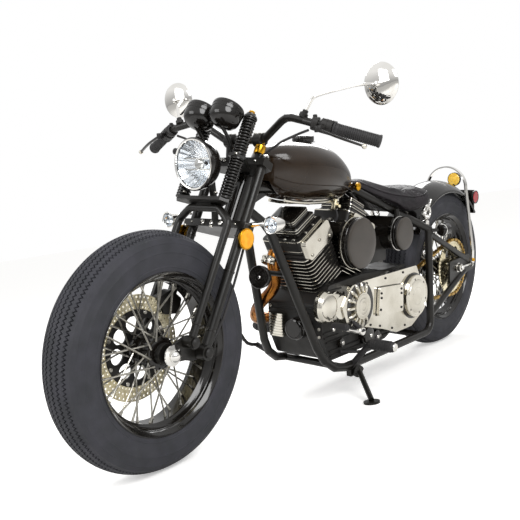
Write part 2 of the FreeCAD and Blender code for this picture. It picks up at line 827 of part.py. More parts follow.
def rear_indicators():
    """The bright turn lamps on stalks from the tops of the rear uprights."""
    x, y, z = rear_indicator_centre
    stalk = rod((rail_rear - 6, rail_spacing - 9, z), (x + 6, y, z), 7).cut(upright().fuse(upper_rail()).fuse(upper_stay()))
    body = turned([(0, -30), (12, -30), (indicator_radius, -6), (indicator_radius, 14), (0, 14)], (x, y, z), (-1, 0, 0))
    return both_sides(stalk.fuse(body).removeSplitter())


# Final drive

def belt_face(front_radius, rear_radius):
    """The flat shape inside two open tangents round the front and rear sprockets."""
    front = V(front_sprocket_x, 0, front_sprocket_z)
    rear = V(0, 0, axle_height)
    line = front - rear
    angle = math.atan2(line.z, line.x)
    wrap = math.acos((rear_radius - front_radius) / line.Length)

    def rim_point(centre, radius, turn):
        return centre + V(math.cos(turn), 0, math.sin(turn)) * radius

    top, bottom = angle + wrap, angle - wrap
    edges = [
        Part.LineSegment(rim_point(rear, rear_radius, top), rim_point(front, front_radius, top)).toShape(),
        Part.Arc(rim_point(front, front_radius, top), rim_point(front, front_radius, angle),
                 rim_point(front, front_radius, bottom)).toShape(),
        Part.LineSegment(rim_point(front, front_radius, bottom), rim_point(rear, rear_radius, bottom)).toShape(),
        Part.Arc(rim_point(rear, rear_radius, bottom), rim_point(rear, rear_radius, angle + math.pi),
                 rim_point(rear, rear_radius, top)).toShape(),
    ]
    return Part.Face(Part.Wire(edges))


def drive_chain():
    """The loop round both sprockets."""
    reach = chain_height / 2
    outer = belt_face(front_sprocket_radius + reach, rear_sprocket_radius + reach)
    inner = belt_face(front_sprocket_radius - reach, rear_sprocket_radius - reach)
    band = outer.cut(inner).extrude(V(0, 2 * chain_half_width, 0))
    band.translate(V(0, sprocket_side - chain_half_width, 0))
    return band


def rear_sprocket():
    """The toothed ring's plate, open between its arms, on the hub's left face."""
    outer = rear_sprocket_radius - chain_height / 2 - 1
    plate = turned([
        (hub_radius - 6, hub_half_width), (hub_radius + 12, hub_half_width), (hub_radius + 12, sprocket_side - 3),
        (outer, sprocket_side - 3), (outer, sprocket_side + 3), (hub_radius - 6, sprocket_side + 3),
    ], (0, 0, axle_height))
    holes = []
    for number in range(6):
        turn = math.radians(60 * number)
        holes.append(disc((math.cos(turn) * 72, sprocket_side, axle_height + math.sin(turn) * 72), across, 19, 20))
    return plate.cut(Part.makeCompound(holes))


def front_sprocket():
    """The gearbox sprocket and its shaft."""
    outer = front_sprocket_radius - chain_height / 2 - 1
    centre = (front_sprocket_x, sprocket_side, front_sprocket_z)
    wheel = disc(centre, across, outer, 6)
    shaft = rod((front_sprocket_x, gearbox_side, front_sprocket_z), (front_sprocket_x, sprocket_side + 10, front_sprocket_z), 14)
    return wheel.fuse(shaft).removeSplitter()


def rear_axle():
    """The bar through the rear hub, with its nuts outside the frame's plates."""
    end = axle_plate_place + axle_plate_wall / 2
    bar = rod((0, -end - 20, axle_height), (0, end + 20, axle_height), axle_radius)
    nuts = [disc((0, side * (end + 8), axle_height), across, 16, 15.4) for side in (-1, 1)]
    collar_gap = hub_half_width + 0.3
    collars = [
        rod((0, -collar_gap, axle_height), (0, -axle_plate_place + axle_plate_wall / 2, axle_height), 14),
        rod((0, sprocket_side + 3.3, axle_height), (0, axle_plate_place - axle_plate_wall / 2, axle_height), 14),
    ]
    return joined([bar] + nuts + collars)


# Fork

def rigid_fork():
    """The rear legs, the two trees and the stem between them."""
    legs = [rod(fork_point(rear_leg_foot, rear_leg_ahead, side * leg_spacing),
                fork_point(rear_leg_top, rear_leg_ahead, side * leg_spacing), leg_radius) for side in (-1, 1)]
    stem = rod(fork_point(lower_tree - 5, 0), fork_point(upper_tree + 24, 0), stem_radius)
    feet = [disc(fork_point(rear_leg_foot - 6, rear_leg_ahead, side * leg_spacing), across, 21, 2 * leg_eye_half)
            for side in (-1, 1)]
    return joined(legs + feet + [stem, tree(lower_tree, 62), tree(upper_tree, 60), spring_perch_plate()])


def tree(along, reach):
    """A plate across the legs, square to the steering axis."""
    half = tree_wall / 2
    wide = tree_half_width
    corners = [(-20, -32), (-20, 32), (rear_leg_ahead - 22, wide), (rear_leg_ahead + 20, wide),
               (reach + 8, 40), (reach + 8, -40), (rear_leg_ahead + 20, -wide), (rear_leg_ahead - 22, -wide)]
    wire = Part.makePolygon([fork_point(along - half, ahead, side) for ahead, side in corners + [corners[0]]])
    return Part.Face(wire).extrude(up_axis * tree_wall)


def spring_perch_plate():
    """The plate at the middle of the springs, held by the upper tree."""
    half = 5
    arm = [(50, 60), (spring_ahead - 6, spring_spacing + 22), (spring_ahead + 22, spring_spacing + 6),
           (spring_ahead + 22, spring_spacing - 17), (88, 46)]
    corners = arm + [(ahead, -side) for ahead, side in arm[::-1]]
    wire = Part.makePolygon([fork_point(spring_perch - half, ahead, side) for ahead, side in corners + [corners[0]]])
    plate = Part.Face(wire).extrude(up_axis * 2 * half)
    drop = Part.makePolygon([fork_point(spring_perch - half, ahead, side) for ahead, side in
                             [(44, -30), (44, 30), (66, 30), (66, -30), (44, -30)]])
    web = Part.Face(drop).extrude(up_axis * (upper_tree - spring_perch + 4))
    return plate.fuse(web)


def spring_fork():
    """The front legs, which move on the springs, joined at the crown below them."""
    top = crown - 34
    shoulder = crown
    path = [
        fork_point(rear_leg_foot + 8, front_leg_ahead, leg_spacing), fork_point(top, front_leg_ahead, leg_spacing),
        fork_point(shoulder, front_leg_ahead + 10, leg_spacing - 40), fork_point(shoulder, front_leg_ahead + 10, -leg_spacing + 40),
        fork_point(top, front_leg_ahead, -leg_spacing), fork_point(rear_leg_foot + 8, front_leg_ahead, -leg_spacing),
    ]
    legs = tube(path, front_leg_radius, [24, 24, 24, 24])
    feet = [disc(fork_point(rear_leg_foot + 4, front_leg_ahead, side * leg_spacing), across, 17, 2 * leg_eye_half)
            for side in (-1, 1)]
    corners = [(front_leg_ahead - 6, -48), (front_leg_ahead - 6, 48), (spring_ahead, spring_spacing + 18),
               (spring_ahead + 20, spring_spacing), (spring_ahead + 20, -spring_spacing), (spring_ahead, -spring_spacing - 18)]
    wire = Part.makePolygon([fork_point(spring_foot - 16, ahead, side) for ahead, side in corners + [corners[0]]])
    seat_plate = Part.Face(wire).extrude(up_axis * 10)
    post = Part.makePolygon([fork_point(shoulder - 4, ahead, side) for ahead, side in
                             [(front_leg_ahead, -28), (front_leg_ahead, 28), (front_leg_ahead + 20, 28),
                              (front_leg_ahead + 20, -28), (front_leg_ahead, -28)]])
    link = Part.Face(post).extrude(up_axis * (spring_foot - 12 - shoulder))
    return joined([legs, seat_plate, link] + feet)


def fork_springs():
    """Two stacked coil springs on each side, drawn as their outer shape, with their rods and nuts."""
    coils = []
    for side in (-1, 1):
        base = side * spring_spacing
        low = coil(fork_point(spring_foot - 6 + 0.3, spring_ahead, base), spring_perch - 5.3 - (spring_foot - 6 + 0.3))
        high = coil(fork_point(spring_perch + 5.3, spring_ahead, base), spring_top - spring_perch - 5.3)
        nut = rod(fork_point(spring_top - 8, spring_ahead, base), fork_point(spring_top + 22, spring_ahead, base), 11)
        coils += [low, high.fuse(nut).removeSplitter()]
    return Part.makeCompound(coils)


def coil(foot, length):
    """A close-wound spring on its rod: its turns stand out from it one above the other."""
    turns = round(length / spring_pitch)
    rings = []
    for step in range(2 * turns + 1):
        radius = spring_radius if step % 2 else spring_radius - spring_wire
        rings.append(regular_corners(radius, length * step / (2 * turns), 12))
    faces = [flat_face(rings[0]), flat_face(rings[-1])]
    for low, high in zip(rings, rings[1:]):
        for side in range(len(low)):
            faces.append(flat_face([low[side - 1], low[side], high[side], high[side - 1]]))
    shape = Part.Solid(Part.Shell(faces))
    shape.Placement = FreeCAD.Placement(foot, FreeCAD.Rotation(upward, up_axis))
    return shape


def regular_corners(radius, height, count):
    turns = [2 * math.pi * corner / count for corner in range(count)]
    return [V(radius * math.cos(turn), radius * math.sin(turn), height) for turn in turns]


def flat_face(corners):
    return Part.Face(Part.makePolygon(corners + [corners[0]]))


def rockers():
    """The short links that carry the front axle ahead of the rear legs."""
    pivot = fork_point(rear_leg_foot - 6, rear_leg_ahead)
    link = fork_point(rear_leg_foot + 4, front_leg_ahead)
    plates = []
    for side in (-1, 1):
        plate = side_plate([(pivot.x - 14, pivot.z - 18), (pivot.x - 14, pivot.z + 14), (link.x, link.z + 16),
                            (wheelbase + 18, axle_height + 16), (wheelbase + 18, axle_height - 18)], 0, rocker_wall, 10)
        if side < 0:
            plate = mirrored(plate)
        plate.translate(V(0, side * (rocker_face - rocker_wall), 0))
        plates.append(plate)
    return plates


def front_axle():
    """The bar through the front hub, with acorn nuts outside the rockers."""
    end = rocker_face
    bar = rod((wheelbase, -end - 2, axle_height), (wheelbase, end + 2, axle_height), axle_radius)
    nuts = [turned([(0, -1), (15, -1), (15, 10), (9, 20), (0, 20)], (wheelbase, side * end, axle_height), (0, side, 0))
            for side in (-1, 1)]
    collars = [rod((wheelbase, side * (hub_half_width + 0.3), axle_height),
                   (wheelbase, side * (end - rocker_wall + 1), axle_height), 14) for side in (-1, 1)]
    drive = rod((wheelbase, hub_half_width + 0.3, axle_height), (wheelbase, hub_half_width + 16, axle_height), speed_drive_radius)
    return joined([bar, drive] + nuts + collars + rockers())


def speedometer_cable():
    """The cable from the drive on the front axle, up behind the left leg to the lower tree."""
    side = hub_half_width + 10
    line = cable([
        (wheelbase - speed_drive_radius + 4, side, axle_height - 12), (wheelbase - 60, side + 6, axle_height - 30),
        fork_point(rear_leg_foot - 16, 16, 72), fork_point(rear_leg_foot + 60, 2, 84), fork_point(rear_leg_foot + 150, 6, 92),
        fork_point(lower_tree - 110, 12, 96), fork_point(lower_tree - tree_wall / 2, 22, 98),
    ], cable_radius)
    return line.cut(front_axle()).cut(rigid_fork())


def control_cables():
    """The cables from the two levers, down to the upper tree."""
    lines = cable([
        bar_point(84, 78, 252), bar_point(70, 72, 196), bar_point(48, 66, 142), bar_point(26, 52, 102),
        bar_point(tree_wall / 2, 46, 66),
    ], cable_radius)
    return both_sides(lines.cut(handlebar()).cut(rigid_fork()))


def handlebar():
    half = [bar_point(*bar_clamp), bar_point(*bar_crest), bar_point(*bar_bend), bar_point(*bar_end)]
    points = [V(point.x, -point.y, point.z) for point in half[::-1]] + half
    bar = tube(points, bar_radius, [60, 60, 30, 30, 60, 60])
    risers = []
    for side in (-1, 1):
        place = side * (bar_clamp[2] - 14)
        foot = fork_point(upper_tree, rear_leg_ahead - 34, place)
        risers.append(rod(foot, bar_point(bar_clamp[0], bar_clamp[1], place) + V(0, 0, 2), 13))
    return joined([bar] + risers).cut(rigid_fork())


def grip_line():
    end = bar_point(*bar_end)
    return end, (bar_point(*bar_bend) - end).normalize()


def grips():
    end, inward = grip_line()
    body = turned([(bar_radius + 0.3, 0), (grip_radius, 0), (grip_radius, grip_length), (bar_radius + 0.3, grip_length)],
                  end, inward)
    cap = rod(end - inward * 6, end, grip_radius)
    return both_sides(body.fuse(cap))


def bar_controls():
    """The switch housings beside the grips, with the clutch and brake levers on their perches."""
    end, inward = grip_line()
    start = end + inward * (grip_length + 2)
    housing = turned([(bar_radius + 0.3, 0), (20, 0), (20, 34), (bar_radius + 0.3, 34)], start, inward)
    pivot = end + inward * (grip_length + 20) + V(36, 0, -6)
    tip = end + inward * 8 + V(62, 4, -14)
    knee = pivot + (tip - pivot) * 0.35 + V(12, 0, 0)
    blade = tube([tuple(pivot), tuple(knee), tuple(tip)], 5, [60])
    perch = rod(end + inward * (grip_length + 20) + V(17, 0, 0), pivot, 7)
    bolt = disc(pivot, upward, 10, 17)
    return both_sides(joined([housing, perch, blade, bolt]))


def mirrors():
    x, y, z = bar_point(*mirror_place)
    crest, bend = bar_point(*bar_crest), bar_point(*bar_bend)
    start = crest + (bend - crest) * 0.717 + V(0, 0, bar_radius + 1.5)
    stem = tube([start, bar_point(170.4, 108.8, 262), bar_point(248.2, 28.4, 340), (x + 14, y - 16, z)], 4.5, [30, 90])
    head = turned([(0, 0), (mirror_radius - 10, 0), (mirror_radius, 8), (mirror_radius, 18), (0, 18)],
                  (x + 16, y, z), (-1, 0.12, 0.05))
    return both_sides(stem.fuse(head))


def headlamp():
    x, y, z = lamp_point(*headlamp_place)
    r, d = headlamp_radius, headlamp_depth
    shell = turned([
        (r, 0), (r * 0.84, -d * 0.6), (r * 0.42, -d), (0, -d), (0, -5), (r - 9, -5), (r - 9, 6), (r, 6),
    ], (x - 8, y, z), forward)
    foot = fork_point(lower_tree + 4, 58)
    back = x - 8 - d
    stalk = tube([tuple(foot), (foot.x - 6, 0, z - 60), (back + 3, 0, z - 2)], 10, [30])
    return shell.fuse(stalk).removeSplitter().cut(rigid_fork())


def headlamp_lens():
    x, y, z = lamp_point(*headlamp_place)
    r = headlamp_radius - 9.3
    return turned([(0, -3), (r, -3), (r, 3), (r * 0.6, 11), (0, 11)], (x - 8, y, z), forward)


def gauges():
    x, y, z = bar_point(*gauge_place)
    bowl = turned([
        (0, -gauge_depth * 0.6), (10, -gauge_depth * 0.6), ((gauge_radius * 0.72, -gauge_depth * 0.42), (gauge_radius, 0)),
        (gauge_radius, gauge_depth * 0.4), (0, gauge_depth * 0.4),
    ], (x, y, z), gauge_heading)
    root = fork_point(spring_perch, 108, 50)
    stalk = rod(root, V(x, y, z) - gauge_heading * (gauge_depth * 0.55), 5)
    return both_sides(bowl.fuse(stalk).removeSplitter()).cut(rigid_fork())


def front_indicators():
    x, y, z = lamp_point(*indicator_place)
    root = fork_point(lower_tree + 8, rear_leg_ahead - 4, tree_half_width - 4)
    stalk = rod(root, (x - 12, y - 8, z), 7)
    body = turned([(0, -44), (12, -44), (indicator_radius, -10), (indicator_radius, 10), (0, 10)], (x, y, z), forward)
    return both_sides(stalk.fuse(body).removeSplitter()).cut(rigid_fork())


def side_reflectors():
    centre = lamp_point(-reflector_under_tree, rear_leg_ahead, tree_half_width + 0.3 + 4.5)
    return both_sides(disc(centre, across, reflector_radius, 9))


def front_caliper():
    """The front brake's caliper, behind the disc on the right-hand leg."""
    def near_axle(points):
        return [(wheelbase + x, axle_height + z) for x, z in points]

    body = side_plate(near_axle([(-156, 66), (-98, 74), (-84, 124), (-130, 140), (-168, 108)]), -80, -50, 8)
    slot = disc((wheelbase, -disc_side, axle_height), across, front_disc_radius + 4, 10)
    arm = side_plate(near_axle([(-180, 70), (-120, 70), (-124, 108), (-184, 104)]), -92, -78)
    leg = rod(fork_point(rear_leg_foot, rear_leg_ahead, -leg_spacing), fork_point(rear_leg_top, rear_leg_ahead, -leg_spacing),
              leg_radius + 0.3)
    return body.cut(slot).fuse(arm).removeSplitter().cut(leg)


def rear_caliper():
    """The rear brake's caliper, on the right-hand lower stay."""
    low = axle_height
    body = side_plate([(60, low - 86), (118, low - 60), (104, low - 4), (58, low - 16)], -82, -46, 8)
    slot = disc((0, -disc_side, axle_height), across, rear_disc_radius + 4, 10)
    arm = side_plate([(64, low - 60), (92, low - 52), (92, low - 22), (64, low - 26)], -axle_plate_place + axle_plate_wall / 2 + 0.3, -78)
    stay = mirrored(rod((rail_rear, rail_spacing - 1, rail_height + 60), (-60, axle_plate_place, axle_height - 22), stay_radius + 0.3))
    return body.cut(slot).fuse(arm).removeSplitter().cut(stay)


def horn():
    """The horn ahead of the down tubes, on a strap from their cross tube."""
    rail = horn_line()
    centre = rail + V(horn_reach, 0, -6)
    shell = turned([(0, 0), (22, 0), (34, 10), (34, 24), (0, 24)], centre, (0.96, 0.2, 0.1))
    strap = rod(rail, centre, 6).cut(horn_rail())
    return shell.fuse(strap).removeSplitter()


def horn_line():
    """The middle of the horn's cross tube, part of the way down the down tubes."""
    top, foot = cradle_points()[1:3]
    at = top + (foot - top) * horn_share
    return V(at.x, 0, at.z)


def horn_rail():
    at = horn_line()
    return rod(at - across * 70, at + across * 70, 8).cut(both_sides(down_tube()))


def bottom_and_down_tube():
    """The whole left-hand tube under the engine."""
    return down_tube().fuse(bottom_rail())


def footpegs():
    """The rider's pegs on brackets from the bottom rails."""
    bracket = rod((800, rail_spacing, rail_height), (800, 196, 196), 10).cut(bottom_and_down_tube())
    peg = turned([(0, 0), (12, 0), (17, 10), (17, 90), (13, 98), (0, 98)], (800, 192, 198), across)
    return both_sides(bracket.fuse(peg))


def gear_lever():
    lever = tube([(806, 166, 236), (900, 176, 262), (968, 180, 290)], 6, [120])
    toe = rod((968, 172, 290), (968, 226, 290), 9)
    pivot = rod((806, cover_outer - 12, 262), (806, 178, 236), 9)
    return joined([lever, toe, pivot]).cut(left_cover())


def brake_pedal():
    side = muffler_side - 34
    lever = tube([(872, side, 152), (930, side, 166), (972, side - 2, 226)], 6, [60])
    toe = rod((972, side + 6, 228), (972, side - 44, 228), 9)
    pivot = rod((872, -rail_spacing + 1, rail_height + 2), (872, side - 6, 152), 9).cut(mirrored(bottom_and_down_tube()))
    return joined([lever, toe, pivot])


# Side stand

def ground_height(y):
    """The ground's height beside the upright machine's middle, once it leans."""
    return tread_crown - tread_crown / math.cos(lean) + y * math.tan(lean)


def side_stand():
    foot_x, foot_y = stand_foot_xy
    world_up = V(0, -math.sin(lean), math.cos(lean))
    foot = V(foot_x, foot_y, ground_height(foot_y))
    pad = Part.makeCylinder(26, 7, foot, world_up)
    leg = rod(stand_pivot, foot + world_up * 10, 9)
    eye = disc(stand_pivot, stand_axis(), 15, 16)
    return joined([pad, leg, eye])


def stand_axis():
    """The line the stand folds about: square to the leg both down and folded."""
    down = V(stand_foot_xy[0], stand_foot_xy[1], ground_height(stand_foot_xy[1])) - V(*stand_pivot)
    return down.cross(V(*stand_folded)).normalize()


def stand_bracket():
    """The lug on the left bottom rail that the stand turns on."""
    pivot = V(*stand_pivot)
    axis = stand_axis()
    base = pivot - axis * 9.5
    lug = block((pivot.x - 16, rail_spacing - 10, rail_height - 36), (pivot.x + 16, rail_spacing + 8, rail_height))
    arm = rod((pivot.x, rail_spacing, rail_height - 28), base - axis * 9, 8)
    return joined([rod(base - axis * 12, base, 15), lug, arm]).cut(disc(pivot, axis, 30, 19))


# The machine, leaned over on its stand

def leaned(shape):
    shape = shape.copy()
    shape.rotate(V(0, 0, tread_crown), V(1, 0, 0), -lean_deg)
    return shape


front = (wheelbase, 0, axle_height)
rear = (0, 0, axle_height)
nodes = {
    "frame_backbone": backbone(),
    "frame_down_tubes": both_sides(down_tube()),
    "frame_bottom_rails": both_sides(bottom_rail()),
    "frame_uprights": both_sides(upright()),
    "frame_upper_rails": both_sides(upper_rail()),
    "frame_upper_stays": both_sides(upper_stay()),
    "frame_lower_stays": both_sides(lower_stay()),
    "frame_crossbars": frame_crossbars(),
    "crankcase": crankcase(),
    "cylinders": Part.makeCompound([cylinder(front_cylinder_deg), cylinder(rear_cylinder_deg)]),
    "cylinder_heads": Part.makeCompound([cylinder_head(front_cylinder_deg), cylinder_head(rear_cylinder_deg)]),
    "engine_covers": Part.makeCompound([
        head_cover(front_cylinder_deg), head_cover(rear_cylinder_deg), left_cover(), generator_cover(), right_cover(),
    ]),
    "air_cleaner": joined([
        intake(), drum(air_cleaner_centre, air_cleaner_radius, fin_half_width + 10, drum_outer, 18),
    ]),
    "oil_tank": oil_tank(),
    "exhaust_pipes": Part.makeCompound([exhaust_front(), exhaust_rear()]),
    "fuel_tank": fuel_tank(),
    "fuel_cap": fuel_cap(),
    "seat": seat(),
    "seat_springs": both_sides(seat_springs()),
    "rear_fender": fender(),
    "fender_hoop": fender_hoop(),
    "tail_bracket": tail_bracket(),
    "rear_lamps": rear_lamps(),
    "rear_indicators": rear_indicators(),
    "drive_chain": drive_chain(),
    "front_sprocket": front_sprocket(),
    "rear_axle": rear_axle(),
    "rear_caliper": rear_caliper(),
    "foot_controls": Part.makeCompound([footpegs(), gear_lever(), brake_pedal()]),
    "horn": horn(),
    "rear_tyre": tyre(rear),
    "rear_rim": rim(rear),
    "rear_hub": joined([hub(rear), brake_disc(rear, rear_disc_radius, 8)]),
    "rear_spokes": spokes(rear),
    "rear_sprocket": rear_sprocket(),
    "fork_rear_legs": rigid_fork(),
    "fork_front_legs": spring_fork(),
    "fork_springs": fork_springs(),
    "front_axle": front_axle(),
    "handlebar": handlebar(),
    "grips": grips(),
    "bar_controls": bar_controls(),
    "mirrors": mirrors(),
    "headlamp": headlamp(),
    "headlamp_lens": headlamp_lens(),
    "gauges": gauges(),
    "front_lamps": front_indicators(),
    "side_reflectors": side_reflectors(),
    "front_caliper": front_caliper(),
    "speedometer_cable": speedometer_cable(),
    "control_cables": control_cables(),
    "front_tyre": tyre(front),
    "front_rim": rim(front),
    "front_hub": joined([hub(front), brake_disc(front, front_disc_radius, 8)]),
    "front_spokes": spokes(front),
    "side_stand": side_stand(),
}

leaning = {name: leaned(shape) for name, shape in nodes.items()}
whole = Part.makeCompound(list(leaning.values())).optimalBoundingBox(False)
shift = V(-(whole.XMin + whole.XMax) / 2, -(whole.YMin + whole.YMax) / 2, -whole.ZMin)
for name, shape in leaning.items():
    shape.translate(shift)
    shape.exportStep("parts/" + name + ".step")
    print(name, len(shape.Solids), shape.isValid(), round(shape.Volume / 1000, 1))
print("shift", [round(value, 4) for value in shift], "box", whole)
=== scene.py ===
# Chopper motorcycle leaning on its side stand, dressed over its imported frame.
import json
import math
from functools import partial

import bmesh
import bpy
import numpy as np
from mathutils import Matrix, Vector
from mathutils.bvhtree import BVHTree


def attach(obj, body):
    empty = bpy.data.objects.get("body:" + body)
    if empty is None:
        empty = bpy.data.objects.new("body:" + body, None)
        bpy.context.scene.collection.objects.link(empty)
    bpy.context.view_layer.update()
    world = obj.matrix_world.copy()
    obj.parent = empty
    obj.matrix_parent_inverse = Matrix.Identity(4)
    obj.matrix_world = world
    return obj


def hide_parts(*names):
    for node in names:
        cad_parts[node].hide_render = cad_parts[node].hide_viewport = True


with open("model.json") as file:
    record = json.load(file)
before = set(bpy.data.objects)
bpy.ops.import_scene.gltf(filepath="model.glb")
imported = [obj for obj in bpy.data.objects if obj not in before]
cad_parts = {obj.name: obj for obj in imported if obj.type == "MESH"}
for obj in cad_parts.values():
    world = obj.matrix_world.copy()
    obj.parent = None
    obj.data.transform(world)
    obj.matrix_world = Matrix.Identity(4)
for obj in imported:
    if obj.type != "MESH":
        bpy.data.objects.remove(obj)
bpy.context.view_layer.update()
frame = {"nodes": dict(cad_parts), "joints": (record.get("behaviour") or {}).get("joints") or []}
print("frame loaded:", len(frame["nodes"]), "CAD nodes")

joints = {joint["name"]: joint for joint in frame["joints"]}
rearCentre = np.array(joints["rear_wheel_spin"]["pos_m"])
axleLine = np.array(joints["rear_wheel_spin"]["axis"])      # the machine's own left, leaned with it
lean = math.asin(-axleLine[2])
leanTurn = np.array([[1, 0, 0], [0, math.cos(lean), math.sin(lean)], [0, -math.sin(lean), math.cos(lean)]])
axleHeight, wheelbase = 322, 1560
ahead, left, top = np.eye(3)


def toRow(points):
    # upright millimetres (X ahead, Y left, Z up, rear axle at x=0) to the leaned row frame in metres
    return rearCentre + (np.asarray(points, float) - [0, 0, axleHeight]) / 1000 @ leanTurn.T


def fromRow(points):
    # back from row metres to upright millimetres
    return (np.asarray(points, float) - rearCentre) @ leanTurn * 1000 + [0, 0, axleHeight]


# a shape is a pair of arrays, its points in upright millimetres and its faces, until build() makes it a piece
def meshFromArrays(name, verts, faces):
    mesh = bpy.data.meshes.new(name)
    verts, faces = np.asarray(verts, np.float32), np.asarray(faces, np.int32)
    mesh.vertices.add(len(verts))
    mesh.vertices.foreach_set("co", verts.ravel())
    mesh.loops.add(faces.size)
    mesh.loops.foreach_set("vertex_index", faces.ravel())
    mesh.polygons.add(len(faces))
    mesh.polygons.foreach_set("loop_start", np.arange(0, faces.size, faces.shape[1], dtype=np.int32))
    mesh.update(calc_edges=True)
    mesh.validate()
    piece = bpy.data.objects.new(name, mesh)
    bpy.context.scene.collection.objects.link(piece)
    return piece


def gridFaces(rows, columns, closeRows=False, closeColumns=False):
    # quads of a rows x columns grid of points; a closed direction joins its last line to its first
    i = np.arange(rows if closeRows else rows - 1)
    j = np.arange(columns if closeColumns else columns - 1)
    i, j = [part.ravel() for part in np.meshgrid(i, j, indexing="ij")]
    nextI, nextJ = (i + 1) % rows, (j + 1) % columns
    return np.stack([i * columns + j, i * columns + nextJ, nextI * columns + nextJ, nextI * columns + j], 1)


def tube(grid, capped=True, closeRows=False):
    # a grid of rings as a shape; capped draws its two ends in to their middles
    if capped:
        sides = grid.shape[1]
        grid = np.concatenate([grid[:1].mean(1, keepdims=True).repeat(sides, 1), grid,
                               grid[-1:].mean(1, keepdims=True).repeat(sides, 1)])
    return grid.reshape(-1, 3), gridFaces(grid.shape[0], grid.shape[1], closeRows, True)


def lathe(profile, centre, axis=left, steps=64):
    # each (radius, distance) of the profile turned round an axis: centre + axis*distance + radius*(cos, sin); a
    # profile with both ends off the axis closes to a ring
    axis = np.asarray(axis, float) / np.linalg.norm(axis)
    side = np.cross(axis, [0.31, 0.17, 0.93])
    side /= np.linalg.norm(side)
    turn = np.linspace(0, math.tau, steps, endpoint=False)
    radius, along = np.asarray(profile, float).T
    ring = np.cos(turn)[:, None] * side + np.sin(turn)[:, None] * np.cross(axis, side)
    grid = np.asarray(centre, float) + along[:, None, None] * axis + radius[:, None, None] * ring
    return tube(grid, capped=False, closeRows=radius[0] > 0 and radius[-1] > 0)


def sweep(path, radius, sides=12, reference=(0.13, 0.97, 0.21), squash=1):
    # a circle of given radius (one value or one a point) carried along the path, square to its tangent; the
    # reference is a direction that the path never takes, and squash flattens the circle
    path = np.asarray(path, float)
    tangent = np.gradient(path, axis=0)
    tangent /= np.linalg.norm(tangent, axis=1)[:, None]
    side = np.cross(tangent, reference)
    side /= np.linalg.norm(side, axis=1)[:, None]
    other = np.cross(tangent, side)
    turn = np.linspace(0, math.tau, sides, endpoint=False)
    radius = np.broadcast_to(radius, (len(path),))[:, None, None]
    ring = np.cos(turn)[None, :, None] * side[:, None] + squash * np.sin(turn)[None, :, None] * other[:, None]
    return tube(path[:, None] + radius * ring)


def fourPoints(rows, count):
    # even steps through rows of values: for each its share of the way and the four rows round it
    rows = np.asarray(rows, float)
    hull = np.concatenate([2 * rows[:1] - rows[1:2], rows, 2 * rows[-1:] - rows[-2:-1]])
    place = np.linspace(0, len(rows) - 1.0001, count)
    base = place.astype(int)
    return (place - base)[:, None], [hull[base + shift] for shift in range(4)]


def smoothPath(points, count):
    # a cubic B-spline with its ends on the first and last point
    t, around = fourPoints(points, count)
    weights = [(1 - t) ** 3, 3 * t ** 3 - 6 * t ** 2 + 4, -3 * t ** 3 + 3 * t ** 2 + 3 * t + 1, t ** 3]
    return sum(weight / 6 * row for weight, row in zip(weights, around))


def throughStations(stations, count):
    # a Catmull-Rom curve through rows of values
    t, p = fourPoints(stations, count)
    return 0.5 * (2 * p[1] + (p[2] - p[0]) * t + (2 * p[0] - 5 * p[1] + 4 * p[2] - p[3]) * t ** 2
                  + (3 * p[1] - p[0] - 3 * p[2] + p[3]) * t ** 3)


offAxis = np.array([0.123, 0.211, 0.97])      # lies along no piece's axis; copies() counts its turns from it


def copies(template, centres, axes=left, scale=1, turns=0):
    # one small shape set down many times: each copy's Z goes along its axis, turned about it
    verts, faces = (np.asarray(part) for part in template)
    centres = np.asarray(centres, float).reshape(-1, 3)
    axes = np.broadcast_to(np.asarray(axes, float), centres.shape)
    axes = axes / np.linalg.norm(axes, axis=1)[:, None]
    side = np.cross(axes, offAxis)
    side /= np.linalg.norm(side, axis=1)[:, None]
    turns = np.broadcast_to(turns, len(centres))[:, None]
    first = np.cos(turns) * side + np.sin(turns) * np.cross(axes, side)
    second = np.cross(axes, first)
    placed = sum(verts[None, :, k:k + 1] * way[:, None] for k, way in enumerate((first, second, axes)))
    shifted = faces[None] + np.arange(len(centres))[:, None, None] * len(verts)
    return (centres[:, None] + scale * placed).reshape(-1, 3), shifted.reshape(-1, faces.shape[1])


def mirrored(half):
    # a profile that is the same on both sides of its middle, from one half's outer end inwards
    return [(r, -h) for r, h in half] + half[::-1]


def turned(profile, steps):
    # template for copies: a profile turned round Z
    turn = np.linspace(0, math.tau, steps, endpoint=False)
    radius, height = (np.asarray(profile, float).T)[:, :, None]
    return tube(np.stack([radius * np.cos(turn), radius * np.sin(turn), height + 0 * turn], 2), capped=False)


def circle(count, radius, centre, start=0):
    # places at even turns round a centre, in an upright plane that looks left
    turn = start + np.arange(count) * math.tau / count
    return np.asarray(centre, float) + np.stack([radius * np.cos(turn), 0 * turn, radius * np.sin(turn)], 1)


def bothSides(shape):
    # the shape and its mirror image on the machine's right
    verts, faces = shape
    return np.concatenate([verts, verts * [1, -1, 1]]), np.concatenate([faces, faces[:, ::-1] + len(verts)])


